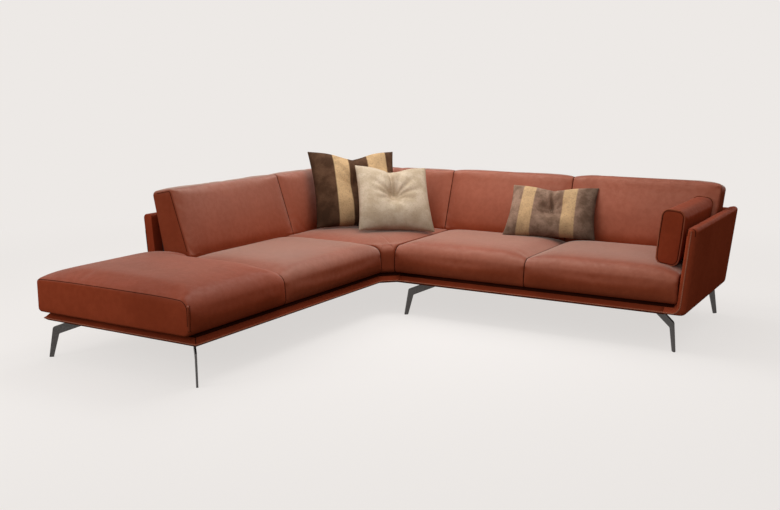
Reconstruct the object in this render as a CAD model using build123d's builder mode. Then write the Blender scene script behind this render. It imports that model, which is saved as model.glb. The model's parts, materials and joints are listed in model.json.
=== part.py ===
"""Leather corner sofa in two sections, with an open ottoman end and one low arm.

Sizes are in millimetres. The part stands on z = 0, +Z is up, +X runs along the right wing and +Y runs to the
back. Plan positions are given from the inner corner, where the front lips of the two wings would meet.
"""
import os
from math import atan, cos, degrees, radians, sin, tan

from build123d import *

# Tray and plan
tray_depth = 1030.0
left_length = 1730.0
right_length = 1800.0
leg_height = 195.0
tray_thickness = 55.0
corner_cut = 70.0
joint_margin = 8.0
lip_drop = 13.0
lip_depth = 38.0
lip_round = 18.0
skin = 4.0
border_flange = 20.0

# Folded shells of the backs and the arm
shell_top = 655.0
shell_flare = 42.0
shell_thickness = 58.0
arm_thickness = 55.0
shell_fold = 30.0
arm_fold = 46.0
arm_root_fold = 8.0
shell_edge_round = 8.0
shell_flange = 80.0
arm_nose_length = 110.0
shell_end_cap = 20.0
back_end = 955.0
panel_thickness = 15.0
panel_top_margin = 35.0
panel_end_margin = 90.0
nose_tip = 4.0
nose_curve = 16.0

# Timber base
rail_setback = 42.0
rail_width = 40.0
rear_rail_width = 60.0
cross_rail_drop = 6.0
block_margin = 14.0
block_thickness = 20.0
strap_width = 60.0
strap_gap = 0.2
cross_strap_pitch = 150.0
long_strap_pitch = 135.0
lining_thickness = 1.5
post_width = 45.0
post_depth = 36.0

# Seats and backs
seat_inset = 4.0
seat_height = 433.0
seat_crown = 20.0
seat_draw = 8.0
corner_tapers = (40.0, 76.0)
seat_edge_radius = 30.0
seat_bottom_roll = 36.0
ottoman_overhang = 40.0
ottoman_inset = 10.0
ottoman_seam_offset = 71.0
corner_seam_left = 54.0
corner_seam_right = 48.0
right_seat_seam = 895.0
arm_seat_gap = 6.0
back_front_lean = 18.7
back_rear_lean = 12.1
back_base_depth = 205.0
back_top = 814.0
back_rear_drop = 32.0
back_crown = 12.0
back_draw = 7.0
back_edge_radius = 12.0
crease_rise = 8.0
back_foot_depth = 218.0
back_seam = 25.0
right_back_seam = 871.0
back_end_lean = 3.3

# Loose cushions
bolster_width = 118.0
bolster_height = 296.0
bolster_front = 120.0
bolster_back_gap = 15.0
bolster_rise = 15.54
bolster_lean = 5.2
bolster_arm_gap = 50.0
bolster_draw = 10.0
bolster_bulge = 8.0
pillow_edge = 5.0
pillow_draw = 16.0
tuft_radius = 62.0
tuft_depth = 24.0
large_pillow_size = 580.0
large_pillow_thickness = 165.0
large_pillow_offset = (326.0, 410.0)
large_pillow_drop = -3.16
large_pillow_turn = 45.0
large_pillow_lean = 34.0
beige_pillow_size = 490.0
beige_pillow_thickness = 145.0
beige_pillow_offset = (632.0, 408.0)
beige_pillow_drop = -3.3
beige_pillow_turn = 46.0
beige_pillow_lean = 36.0
lumbar_pillow_width = 550.0
lumbar_pillow_height = 365.0
lumbar_pillow_thickness = 130.0
lumbar_pillow_offset = (-54.0, 152.0)
lumbar_pillow_drop = 1.95
lumbar_pillow_turn = 9.0
lumbar_pillow_lean = 33.5

# Legs and fittings
blade_thickness = 10.0
foot_width = 23.0
foot_inset = 19.0
leg_joint_inset = 49.0
leg_shoulder_x = 14.0
leg_shoulder_drop = 37.0
leg_crook_x = 44.0
leg_crook_drop = 73.0
leg_rise_x = 130.0
leg_reach = 250.0
leg_tip_depth = 9.0
leg_bend_round = 14.0
leg_crook_round = 10.0
plate_length = 120.0
plate_width = 56.0
plate_thickness = 5.0
bolt_spacing_along = 84.0
bolt_spacing_across = 36.0
bolt_radius = 3.0
bolt_head_radius = 6.0
bolt_head_height = 3.5
bolt_grip = 14.0
bolt_clearance = 0.2
head_sides = 6
shank_sides = 8
glide_height = 4.0
tongue_width = 34.0
tongue_thickness = 4.0
tongue_reach = 36.0
receiver_wall = 2.5
slide_clearance = 0.5
connector_inset = 270.0
connector_offset = 8.0

# Clearances
soft_gap = 0.3
seam_gap = 1.0

# Levels and places that follow from the sizes above
joint_offset = corner_cut + joint_margin
ottoman_seam = back_end + ottoman_seam_offset
tray_top = leg_height + tray_thickness
rail_bottom = leg_height + skin
rail_top = tray_top - skin
strap_thickness = (skin - strap_gap) / 2
end_rail_top = rail_top + strap_thickness + strap_gap
lining_bottom = rail_bottom - lining_thickness
cushion_bottom = tray_top + soft_gap
rail_inner = rail_setback + rail_width
shell_slope = shell_flare / (shell_top - leg_height)
panel_top = shell_top - panel_top_margin
rear_rail_front = tray_depth - rail_setback - rear_rail_width
rear_rail_back = tray_depth - rail_setback
arm_rail_inner = right_length - rail_inner
arm_rail_outer = right_length - rail_setback
shell_foot = tray_depth + shell_slope * (rail_top - leg_height) - shell_thickness
back_foot = shell_foot - post_depth - 2 * soft_gap
back_front = back_foot - back_foot_depth
seat_depth = back_front - 2 * seam_gap
seat_end = right_length - arm_thickness - arm_seat_gap
back_lean_start = seat_height + crease_rise
inner_x = (tray_depth - right_length) / 2
inner_y = (left_length + ottoman_overhang - tray_depth - shell_flare) / 2

os.makedirs("parts", exist_ok=True)


def save(piece, name):
    """Label a finished piece and write its file."""
    piece.part.label = name
    export_step(piece.part, f"parts/{name}.step")


def plan_plane(z):
    """Level plane whose origin is above the inner corner."""
    return Plane(origin=(inner_x, inner_y, z))


def wing_plane(wing, station, lean=0):
    """Section across a wing: x runs from the front lip to the back and y runs up.

    A section of the right wing may lean outward by some degrees about the cushions' bottoms.
    """
    if wing == "left":
        return Plane(origin=(inner_x, inner_y + station, 0), x_dir=(-1, 0, 0), z_dir=(0, 1, 0))
    tilt = radians(lean)
    foot_x = inner_x + station - cushion_bottom * sin(tilt)
    foot_z = cushion_bottom * (1 - cos(tilt))
    return Plane(origin=(foot_x, inner_y, foot_z), x_dir=(0, 1, 0), z_dir=(cos(tilt), 0, -sin(tilt)))


def arm_plane(station):
    """Section across the arm: x runs along the right wing and y runs up."""
    return Plane(origin=(inner_x, inner_y + station, 0), x_dir=(1, 0, 0), z_dir=(0, -1, 0))


def mitre_plane(corner_u, corner_v, normal_u, normal_v):
    """Upright plane through a plan corner, facing the side that is kept."""
    return Plane(origin=(inner_x + corner_u, inner_y + corner_v, 0), z_dir=(normal_u, normal_v, 0))


def add_bars(z_low, z_high, bars):
    """Add upright prisms over plan rectangles given as (u low, u high, v low, v high)."""
    with BuildSketch(plan_plane(z_low)) as plan:
        for u_low, u_high, v_low, v_high in bars:
            with Locations(((u_low + u_high) / 2, (v_low + v_high) / 2)):
                Rectangle(u_high - u_low, v_high - v_low)
    extrude(plan.sketch, amount=z_high - z_low)


def spread(low, high, pitch):
    """Evenly spaced places between two limits, about one pitch apart."""
    count = max(1, round((high - low) / pitch))
    step = (high - low) / count
    return [low + step * (index + 0.5) for index in range(count)]


# Rails of the left section: the front rail ends at the cross rail in front of the corner
left_rear_v = tray_depth - rail_setback
left_end_v = -left_length + rail_setback
left_rails = {
    "left_front_rail": (-rail_inner, -rail_setback, left_end_v, rail_setback),
    "left_rear_rail": (-rear_rail_back, -rear_rail_front, left_end_v, left_rear_v),
    "corner_rear_rail": (-rear_rail_front, joint_offset, rear_rail_front, rear_rail_back),
}
for rail_name, rail_box in left_rails.items():
    with BuildPart() as rail:
        add_bars(rail_bottom, rail_top, [rail_box])
    save(rail, rail_name)

# End rails stand one strap higher, because the long straps lie over the crosswise ones
with BuildPart() as left_end_rail:
    left_end_bar = (-rear_rail_front, -rail_inner, left_end_v, left_end_v + rail_width)
    add_bars(rail_bottom, end_rail_top, [left_end_bar])
save(left_end_rail, "left_end_rail")

# Joint rails have notches on their undersides for the connectors
connector_places = (seat_depth / 2 - connector_offset, rear_rail_front - connector_inset)
receiver_width = tongue_width + 2 * (slide_clearance + receiver_wall)
receiver_height = tongue_thickness + 2 * slide_clearance + receiver_wall
tongue_z = rail_bottom + slide_clearance


def cut_connector_notches(u_low, u_high, width, height):
    """Cut the connector notches out of the underside of a joint rail."""
    with BuildSketch(plan_plane(rail_bottom)) as notches:
        for place in connector_places:
            with Locations(((u_low + u_high) / 2, place)):
                Rectangle(u_high - u_low, width)
    extrude(notches.sketch, amount=height, mode=Mode.SUBTRACT)


with BuildPart() as left_joint_rail:
    add_bars(rail_bottom, rail_top, [(joint_offset - rail_width, joint_offset, rail_inner, rear_rail_front)])
    cut_connector_notches(joint_offset - rail_width, joint_offset, receiver_width, receiver_height)
save(left_joint_rail, "left_joint_rail")

left_cross_places = (-ottoman_seam, -(ottoman_seam + corner_seam_left) / 2, -corner_seam_left)
with BuildPart() as left_cross_rails:
    add_bars(
        rail_bottom,
        rail_top - cross_rail_drop,
        [
            (-rear_rail_front, -rail_inner, place - rail_width / 2, place + rail_width / 2)
            for place in left_cross_places
        ]
        + [
            (-rear_rail_front, joint_offset, rail_setback, rail_inner),
            (-rear_rail_front, joint_offset - rail_width, seat_depth / 2, seat_depth / 2 + rail_width),
        ],
    )
save(left_cross_rails, "left_cross_rails")

# Rails of the right section
right_rails = {
    "right_front_rail": (joint_offset, arm_rail_outer, rail_setback, rail_inner),
    "right_rear_rail": (joint_offset, arm_rail_outer, rear_rail_front, rear_rail_back),
}
for rail_name, (u_low, u_high, v_low, v_high) in right_rails.items():
    with BuildPart() as rail:
        add_bars(rail_bottom, rail_top, [(u_low + seam_gap, u_high, v_low, v_high)])
    save(rail, rail_name)

with BuildPart() as right_end_rail:
    add_bars(rail_bottom, end_rail_top, [(arm_rail_inner, arm_rail_outer, rail_inner, rear_rail_front)])
save(right_end_rail, "right_end_rail")

right_joint_low = joint_offset + seam_gap
with BuildPart() as right_joint_rail:
    add_bars(
        rail_bottom, end_rail_top, [(right_joint_low, right_joint_low + rail_width, rail_inner, rear_rail_front)]
    )
    cut_connector_notches(
        right_joint_low, right_joint_low + rail_width, tongue_width, tongue_thickness + slide_clearance
    )
save(right_joint_rail, "right_joint_rail")

right_cross_places = (
    (joint_offset + right_seat_seam) / 2,
    right_seat_seam,
    (right_seat_seam + arm_rail_inner) / 2,
)
with BuildPart() as right_cross_rails:
    add_bars(
        rail_bottom,
        rail_top - cross_rail_drop,
        [
            (place - rail_width / 2, place + rail_width / 2, rail_inner, rear_rail_front)
            for place in right_cross_places
        ],
    )
save(right_cross_rails, "right_cross_rails")

# Feet: plan place from the inner corner and the way the leg's arm points
left_legs = {
    "ottoman_front_leg": (-foot_inset, -left_length + foot_inset, -1, 1),
    "ottoman_rear_leg": (-tray_depth + foot_inset, -left_length + foot_inset, 1, 1),
    "corner_rear_leg": (-tray_depth + foot_inset, tray_depth - foot_inset, 1, -1),
    "left_joint_leg": (joint_offset - leg_joint_inset, tray_depth - foot_inset, -1, -1),
}
right_legs = {
    "right_joint_front_leg": (joint_offset + leg_joint_inset, foot_inset, 1, 1),
    "right_joint_rear_leg": (joint_offset + leg_joint_inset, tray_depth - foot_inset, 1, -1),
    "arm_front_leg": (right_length - leg_joint_inset, foot_inset, -1, 1),
    "arm_rear_leg": (right_length - leg_joint_inset, tray_depth - foot_inset, -1, -1),
}
plate_centre = leg_reach - plate_length / 2


def plate_plane(foot, z):
    """Level plane at a leg's plate, with x along the leg's arm."""
    u, v, du, dv = foot
    return Plane(
        origin=(
            inner_x + u + du * plate_centre / 2**0.5,
            inner_y + v + dv * plate_centre / 2**0.5,
            z,
        ),
        x_dir=(du, dv, 0),
        z_dir=(0, 0, 1),
    )


def cut_bolt_holes(feet, z_low, z_high):
    """Cut the leg bolts' holes, kept eight-sided, through whatever lies between two levels."""
    for foot in feet:
        with BuildSketch(plate_plane(foot, z_low)) as holes:
            with GridLocations(bolt_spacing_along, bolt_spacing_across, 2, 2):
                RegularPolygon(bolt_radius + bolt_clearance, shank_sides, major_radius=False)
        extrude(holes.sketch, amount=z_high - z_low, mode=Mode.SUBTRACT)


def cut_plate_windows(feet):
    """Cut a bottom lining out round the legs' plates."""
    for foot in feet:
        with BuildSketch(plate_plane(foot, lining_bottom)) as windows:
            Rectangle(plate_length + 2 * seam_gap, plate_width + 2 * seam_gap)
        extrude(windows.sketch, amount=lining_thickness, mode=Mode.SUBTRACT)


# Corner blocks inside the rails, over the legs' plates
block_top = rail_bottom + block_thickness
bolt_reach = (plate_centre + (bolt_spacing_along + bolt_spacing_across) / 2) / 2**0.5
block_size = leg_joint_inset + bolt_reach + block_margin - rail_width


def block_box(corner_u, corner_v, du, dv):
    """Plan rectangle of a corner block that starts at a corner of the rails' insides."""
    ends_u = sorted((corner_u, corner_u + du * block_size))
    ends_v = sorted((corner_v, corner_v + dv * block_size))
    return (*ends_u, *ends_v)


with BuildPart() as left_corner_blocks:
    add_bars(
        rail_bottom,
        block_top,
        [
            block_box(-rail_inner, left_end_v + rail_width, -1, 1),
            block_box(-rear_rail_front, left_end_v + rail_width, 1, 1),
            block_box(-rear_rail_front, rear_rail_front, 1, -1),
            block_box(joint_offset - rail_width, rear_rail_front, -1, -1),
        ],
    )
    cut_bolt_holes(left_legs.values(), rail_bottom, block_top)
save(left_corner_blocks, "left_corner_blocks")

with BuildPart() as right_corner_blocks:
    add_bars(
        rail_bottom,
        block_top,
        [
            block_box(right_joint_low + rail_width, rail_inner, 1, 1),
            block_box(right_joint_low + rail_width, rear_rail_front, 1, -1),
            block_box(arm_rail_inner, rail_inner, -1, 1),
            block_box(arm_rail_inner, rear_rail_front, -1, -1),
        ],
    )
    cut_bolt_holes(right_legs.values(), rail_bottom, block_top)
save(right_corner_blocks, "right_corner_blocks")

# Webbing: crosswise straps on the front and rear rails, lengthwise straps over them
strap_landing = rail_setback + border_flange + seam_gap
strap_rear = back_foot - seam_gap
with BuildPart() as left_webbing:
    add_bars(
        rail_top,
        rail_top + strap_thickness,
        [
            (-strap_rear, -strap_landing, place - strap_width / 2, place + strap_width / 2)
            for place in spread(left_end_v + rail_inner, rear_rail_front, cross_strap_pitch)
        ],
    )
    add_bars(
        end_rail_top,
        tray_top,
        [
            (place - strap_width / 2, place + strap_width / 2, left_end_v + border_flange, strap_rear)
            for place in spread(-rear_rail_front, -rail_inner, long_strap_pitch)
        ],
    )
save(left_webbing, "left_webbing")

with BuildPart() as right_webbing:
    add_bars(
        rail_top,
        rail_top + strap_thickness,
        [
            (place - strap_width / 2, place + strap_width / 2, strap_landing, strap_rear)
            for place in spread(joint_offset + rail_inner, arm_rail_inner - rail_width, cross_strap_pitch)
        ],
    )
    add_bars(
        end_rail_top,
        tray_top,
        [
            (right_joint_low, arm_rail_inner + rail_width / 2, place - strap_width / 2, place + strap_width / 2)
            for place in spread(rail_inner, rear_rail_front, long_strap_pitch)
        ],
    )
save(right_webbing, "right_webbing")

# Bottom linings, stretched under the rails and cut out round the legs' plates
lining_edge = rail_setback + border_flange + rail_width / 4
shell_flange_edge = tray_depth - shell_flange
arm_flange_edge = right_length - shell_flange
arm_nose_edge = right_length - arm_nose_length
lining_shell_edge = shell_flange_edge - seam_gap
with BuildPart() as left_bottom_lining:
    with BuildSketch(plan_plane(lining_bottom)):
        with BuildLine():
            Polyline(
                (-lining_edge, -left_length + lining_edge),
                (-lining_edge, lining_edge),
                (joint_offset, lining_edge),
                (joint_offset, lining_shell_edge),
                (-lining_shell_edge, lining_shell_edge),
                (-lining_shell_edge, -left_length + lining_edge),
                close=True,
            )
        make_face()
    extrude(amount=lining_thickness)
    cut_plate_windows(left_legs.values())
save(left_bottom_lining, "left_bottom_lining")

with BuildPart() as right_bottom_lining:
    add_bars(
        lining_bottom,
        rail_bottom,
        [(right_joint_low, arm_flange_edge - seam_gap, lining_edge, lining_shell_edge)],
    )
    cut_plate_windows(right_legs.values())
save(right_bottom_lining, "right_bottom_lining")


def border_profile(plane, rail_level=rail_top):
    """Padded lip of the tray, hooked over its rail: a sloped top, a sharp tip and a round underside."""
    inner_end = rail_setback + border_flange
    with BuildSketch(plane) as profile:
        with BuildLine():
            TangentArc((lip_round, leg_height), (0, leg_height + lip_drop), tangent=(-1, 0))
            Polyline(
                (0, leg_height + lip_drop),
                (lip_depth, tray_top),
                (inner_end, tray_top),
                (inner_end, rail_level),
                (rail_setback, rail_level),
                (rail_setback, rail_bottom),
                (inner_end, rail_bottom),
                (inner_end, leg_height),
                (lip_round, leg_height),
            )
        make_face()
    return profile.sketch


# Front border of the left section, round the chamfered inner corner
front_path = (
    (joint_offset, 0),
    (corner_cut, 0),
    (0, -corner_cut),
    (0, -left_length - border_flange),
)
end_mitre = mitre_plane(0, -left_length, 1, 1)
with BuildPart() as left_front_border:
    with BuildLine(plan_plane(0)) as front_line:
        Polyline(*front_path)
    sweep(
        border_profile(wing_plane("right", joint_offset)),
        path=front_line.wires()[0],
        transition=Transition.RIGHT,
    )
    split(bisect_by=end_mitre, keep=Keep.TOP)
save(left_front_border, "left_front_border")

# End border under the ottoman, mitred at both corners
rear_mitre = mitre_plane(-tray_depth, -left_length, 1, -1)
with BuildPart() as left_end_border:
    end_plane = Plane(
        origin=(inner_x + border_flange, inner_y - left_length, 0), x_dir=(0, 1, 0), z_dir=(1, 0, 0)
    )
    extrude(border_profile(end_plane, end_rail_top), amount=-tray_depth - 2 * border_flange)
    split(bisect_by=end_mitre, keep=Keep.BOTTOM)
    split(bisect_by=rear_mitre, keep=Keep.TOP)
save(left_end_border, "left_end_border")

# Rear border of the ottoman, up to the back shell
with BuildPart() as left_rear_border:
    rear_plane = Plane(
        origin=(inner_x - tray_depth, inner_y - back_end, 0), x_dir=(1, 0, 0), z_dir=(0, -1, 0)
    )
    extrude(border_profile(rear_plane), amount=left_length - back_end + border_flange)
    split(bisect_by=rear_mitre, keep=Keep.BOTTOM)
save(left_rear_border, "left_rear_border")

with BuildPart() as right_front_border:
    extrude(
        border_profile(wing_plane("right", right_joint_low)),
        amount=arm_nose_edge - right_joint_low - seam_gap,
    )
save(right_front_border, "right_front_border")


def shell_outline(plane, reach, thickness, rail_level, slotted):
    """Folded panel that hooks under its rail and stands up at the back or the arm."""

    def outer(z):
        return reach + shell_slope * (z - leg_height)

    slot_inner = reach - rail_setback + soft_gap
    slot_outer = slot_inner + panel_thickness + 2 * soft_gap
    slot_rise = shell_slope * (panel_top + soft_gap - rail_bottom)
    rail_rise = shell_slope * (rail_level - rail_bottom)
    slot = [
        (slot_inner + rail_rise, rail_level),
        (slot_inner + slot_rise, panel_top + soft_gap),
        (slot_outer + slot_rise, panel_top + soft_gap),
        (slot_outer, rail_bottom),
    ]
    notch = [(reach - rail_setback, rail_level), (reach - rail_setback, rail_bottom)]
    with BuildSketch(plane) as outline:
        with BuildLine():
            Polyline(
                (reach - shell_flange, leg_height),
                (reach, leg_height),
                (outer(shell_top), shell_top),
                (outer(shell_top) - thickness, shell_top),
                (outer(rail_level) - thickness, rail_level),
                *(slot if slotted else notch),
                (reach - shell_flange, rail_bottom),
                close=True,
            )
        make_face()
        fillet(vertices().sort_by_distance((reach, leg_height))[0], shell_fold)
        for corner in (outer(shell_top), outer(shell_top) - thickness):
            fillet(vertices().sort_by_distance((corner, shell_top))[0], shell_edge_round)
    return outline.sketch


# Back shells: the closed cap shows at the open end, and the corners are mitred
left_rear_mitre = mitre_plane(-tray_depth, tray_depth, -1, -1)
arm_mitre = mitre_plane(right_length, tray_depth, 1, -1)
corner_reach = tray_depth + 2 * shell_flare
with BuildPart() as left_back_shell:
    cap_plane = wing_plane("left", -back_end + seam_gap)
    extrude(shell_outline(cap_plane, tray_depth, shell_thickness, rail_top, False), amount=shell_end_cap)
    extrude(
        shell_outline(cap_plane.offset(shell_end_cap), tray_depth, shell_thickness, rail_top, True),
        amount=back_end + corner_reach - shell_end_cap,
    )
    split(bisect_by=left_rear_mitre, keep=Keep.TOP)
save(left_back_shell, "left_back_shell")

with BuildPart() as corner_back_shell:
    extrude(
        shell_outline(wing_plane("right", joint_offset), tray_depth, shell_thickness, rail_top, True),
        amount=-joint_offset - corner_reach,
    )
    split(bisect_by=left_rear_mitre, keep=Keep.BOTTOM)
save(corner_back_shell, "corner_back_shell")

with BuildPart() as right_back_shell:
    extrude(
        shell_outline(wing_plane("right", right_joint_low), tray_depth, shell_thickness, rail_top, True),
        amount=right_length + 2 * shell_flare - right_joint_low,
    )
    split(bisect_by=arm_mitre, keep=Keep.BOTTOM)
save(right_back_shell, "right_back_shell")


def arm_front_outline(plane, insets, folds):
    """Front edge of the arm: the tray's lip turns up through a curve and runs to the arm's top.

    The insets are those of the bottom, the step, the outside and the inside. The folds are the curve's radii.
    """
    bottom_inset, step_inset, outer_inset, inner_inset = insets
    outer_fold, inner_fold = folds
    bottom = leg_height + bottom_inset
    top = shell_top - bottom_inset
    step = tray_top - step_inset

    def outer(z):
        return right_length + shell_slope * (z - leg_height) - outer_inset

    def inner(z):
        return right_length + shell_slope * (z - leg_height) - arm_thickness + inner_inset

    with BuildSketch(plane) as outline:
        with BuildLine():
            Polyline(
                (arm_nose_edge, bottom),
                (outer(bottom), bottom),
                (outer(top), top),
                (inner(top), top),
                (inner(step), step),
                (arm_nose_edge, step),
                close=True,
            )
        make_face()
        fillet(vertices().sort_by_distance((outer(bottom), bottom))[0], outer_fold)
        fillet(vertices().sort_by_distance((inner(step), step))[0], inner_fold)
        top_round = min(shell_edge_round, (arm_thickness - outer_inset - inner_inset) / 3)
        for corner in (outer(top), inner(top)):
            fillet(vertices().sort_by_distance((corner, top))[0], top_round)
    return outline.sketch


# The arm's nose narrows from the full thickness to the stitched tip, and its fold dies out under the seat
nose_share = 1 - nose_curve / rail_setback
tip_inset = (arm_thickness - nose_tip) / 2
tip_drop = lip_drop - nose_tip / 2
tip_step = tray_thickness - lip_drop - nose_tip / 2
nose_sections = (
    (0, (tip_drop, tip_step, tip_inset, tip_inset), (arm_fold + nose_tip, arm_fold)),
    (nose_curve, (0, tip_step * nose_share, 0, tip_inset * nose_share), (shell_fold, arm_fold * nose_share)),
    (rail_setback, (0, 0, 0, 0), (shell_fold, arm_root_fold)),
)
with BuildPart() as arm_shell:
    loft(
        [
            arm_front_outline(arm_plane(station), insets, folds)
            for station, insets, folds in nose_sections
        ],
        ruled=True,
    )
    extrude(
        shell_outline(arm_plane(corner_reach), right_length, arm_thickness, end_rail_top, True),
        amount=corner_reach - rail_setback,
    )
    split(bisect_by=arm_mitre, keep=Keep.TOP)
save(arm_shell, "arm_shell")


def panel_outline(plane, reach):
    """Plywood core that leans with its shell and stands on the shell's flange."""
    inner = reach - rail_setback + soft_gap
    rise = shell_slope * (panel_top - rail_bottom)
    with BuildSketch(plane) as outline:
        with BuildLine():
            Polyline(
                (inner + soft_gap, rail_bottom),
                (inner + soft_gap + rise, panel_top),
                (inner + soft_gap + panel_thickness + rise, panel_top),
                (inner + soft_gap + panel_thickness, rail_bottom),
                close=True,
            )
        make_face()
    return outline.sketch


left_panel_start = -back_end + seam_gap + shell_end_cap + soft_gap
corner_panel_end = tray_depth - panel_end_margin
panels = {
    "left_back_panel": (wing_plane("left", left_panel_start), tray_depth, corner_panel_end - left_panel_start),
    "corner_back_panel": (wing_plane("right", -corner_panel_end), tray_depth, corner_panel_end + joint_offset),
    "right_back_panel": (
        wing_plane("right", right_joint_low),
        tray_depth,
        right_length - panel_end_margin - right_joint_low,
    ),
    "arm_panel": (arm_plane(corner_panel_end), right_length, corner_panel_end - rail_setback - soft_gap),
}
for panel_name, (plane, reach, length) in panels.items():
    with BuildPart() as panel:
        extrude(panel_outline(plane, reach), amount=length)
    save(panel, panel_name)

# Lines of the back cushions' faces, as depth at a height
front_slope = tan(radians(back_front_lean))
rear_slope = tan(radians(back_rear_lean))
back_rear = back_front + back_base_depth


def back_face(z):
    """Depth of a back cushion's front face at a height."""
    return back_front + front_slope * max(0, z - back_lean_start)


def back_rear_face(z):
    """Depth of a back cushion's rear face at a height."""
    return back_rear + rear_slope * (z - back_lean_start)


# Back posts stand on the rear rails, between the cushions' rear faces and the shells
def post_outline(plane):
    """Wedge between a leaning back cushion and its shell."""
    shell_inner = tray_depth - shell_thickness - soft_gap
    with BuildSketch(plane) as outline:
        with BuildLine():
            Polyline(
                (back_foot + soft_gap, rail_top),
                (shell_inner + shell_slope * (rail_top - leg_height), rail_top),
                (shell_inner + shell_slope * (panel_top - leg_height), panel_top),
                (back_rear_face(panel_top) + soft_gap, panel_top),
                (back_rear_face(back_lean_start) + soft_gap, back_lean_start),
                close=True,
            )
        make_face()
    return outline.sketch


def add_posts(wing, places):
    """Add a post at each place along a wing."""
    for place in places:
        extrude(post_outline(wing_plane(wing, place - post_width / 2)), amount=post_width)


with BuildPart() as left_back_posts:
    add_posts("left", (-back_end + 2 * post_width, -back_end / 2, -post_width, seat_depth / 2))
    add_posts("right", (-seat_depth / 2, 0))
save(left_back_posts, "left_back_posts")

with BuildPart() as right_back_posts:
    add_posts("right", (joint_offset + 2 * post_width, right_back_seam, right_length - 4 * post_width))
save(right_back_posts, "right_back_posts")


def swell_stations(start, end, end_lean=0):
    """Stations along a cushion, with its swell and lean at each.

    It doesn't swell at the seams and swells most in the middle. Its lean grows towards the end.
    """
    shares = (0.0, 0.06, 0.2, 0.5, 0.8, 0.94, 1.0)
    return [
        (start + share * (end - start), 1 - abs(2 * share - 1) ** 3, end_lean * share)
        for share in shares
    ]


def seat_section(plane, swell, depth):
    """Seat cushion section: flat bottom, rolled front, crowned top and an upright back."""
    front = seat_inset + seat_draw * (1 - swell)
    top = seat_height - seat_draw * (1 - swell)
    edge = top - seat_edge_radius
    low = cushion_bottom + seat_bottom_roll
    middle = (front + depth) / 2
    with BuildSketch(plane) as section:
        with BuildLine():
            Line((depth, cushion_bottom), (front + seat_bottom_roll, cushion_bottom))
            TangentArc((front + seat_bottom_roll, cushion_bottom), (front, low), tangent=(-1, 0))
            Line((front, low), (front, edge))
            TangentArc((front, edge), (front + seat_edge_radius, top), tangent=(0, 1))
            ThreePointArc(
                (front + seat_edge_radius, top),
                (middle, top + seat_crown * (0.4 + 0.6 * swell)),
                (depth, top),
            )
            Line((depth, top), (depth, cushion_bottom))
        make_face()
    return section.sketch


def seat_loft(wing, start, end, end_lean=0):
    """Seat cushion between two seams of a wing."""
    with BuildPart() as seat:
        loft(
            [
                seat_section(wing_plane(wing, station, lean), swell, seat_depth)
                for station, swell, lean in swell_stations(start, end, end_lean)
            ],
            ruled=True,
        )
    return seat


half_seam = seam_gap / 2
save(seat_loft("left", -ottoman_seam + half_seam, -corner_seam_left - half_seam), "left_seat_cushion")
save(
    seat_loft("right", corner_seam_right + half_seam, right_seat_seam - half_seam),
    "right_seat_cushion_inner",
)
shell_lean = degrees(atan(shell_slope))
save(
    seat_loft("right", right_seat_seam + half_seam, seat_end, shell_lean),
    "right_seat_cushion_outer",
)


def ottoman_section(plane, swell):
    """Ottoman section: both long edges are rolled."""
    front = seat_inset + seat_draw * (1 - swell)
    rear = tray_depth - ottoman_inset - seat_draw * (1 - swell)
    top = seat_height - seat_draw * (1 - swell)
    edge = top - seat_edge_radius
    low = cushion_bottom + seat_bottom_roll
    with BuildSketch(plane) as section:
        with BuildLine():
            Line((rear - seat_bottom_roll, cushion_bottom), (front + seat_bottom_roll, cushion_bottom))
            TangentArc((front + seat_bottom_roll, cushion_bottom), (front, low), tangent=(-1, 0))
            Line((front, low), (front, edge))
            TangentArc((front, edge), (front + seat_edge_radius, top), tangent=(0, 1))
            ThreePointArc(
                (front + seat_edge_radius, top),
                ((front + rear) / 2, top + seat_crown * (0.4 + 0.6 * swell)),
                (rear - seat_edge_radius, top),
            )
            TangentArc((rear - seat_edge_radius, top), (rear, edge), tangent=(1, 0))
            Line((rear, edge), (rear, low))
            TangentArc((rear, low), (rear - seat_bottom_roll, cushion_bottom), tangent=(0, -1))
        make_face()
    return section.sketch


# The ottoman fills the corner beside the back's open end and overhangs the tray's end
ottoman_end = -left_length - ottoman_overhang
with BuildPart() as ottoman_cushion:
    loft(
        [
            ottoman_section(wing_plane("left", station), swell)
            for station, swell, _ in swell_stations(ottoman_end, -ottoman_seam - half_seam)
        ],
        ruled=True,
    )
    add_bars(
        cushion_bottom,
        seat_height - seat_draw,
        [
            (
                -tray_depth + ottoman_inset + seat_draw + seat_edge_radius,
                -back_front,
                -ottoman_seam - seat_edge_radius,
                -back_end - half_seam,
            )
        ],
    )
    roll_end = ottoman_end + ottoman_overhang
    roll_top = cushion_bottom + seat_bottom_roll
    with BuildSketch(wing_plane("right", -tray_depth)):
        with BuildLine():
            Polyline((ottoman_end, roll_top), (ottoman_end, cushion_bottom), (roll_end, cushion_bottom))
            TangentArc((roll_end, cushion_bottom), (ottoman_end, roll_top), tangent=(-1, 0))
        make_face()
    extrude(amount=tray_depth, mode=Mode.SUBTRACT)
save(ottoman_cushion, "ottoman_cushion")

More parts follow.
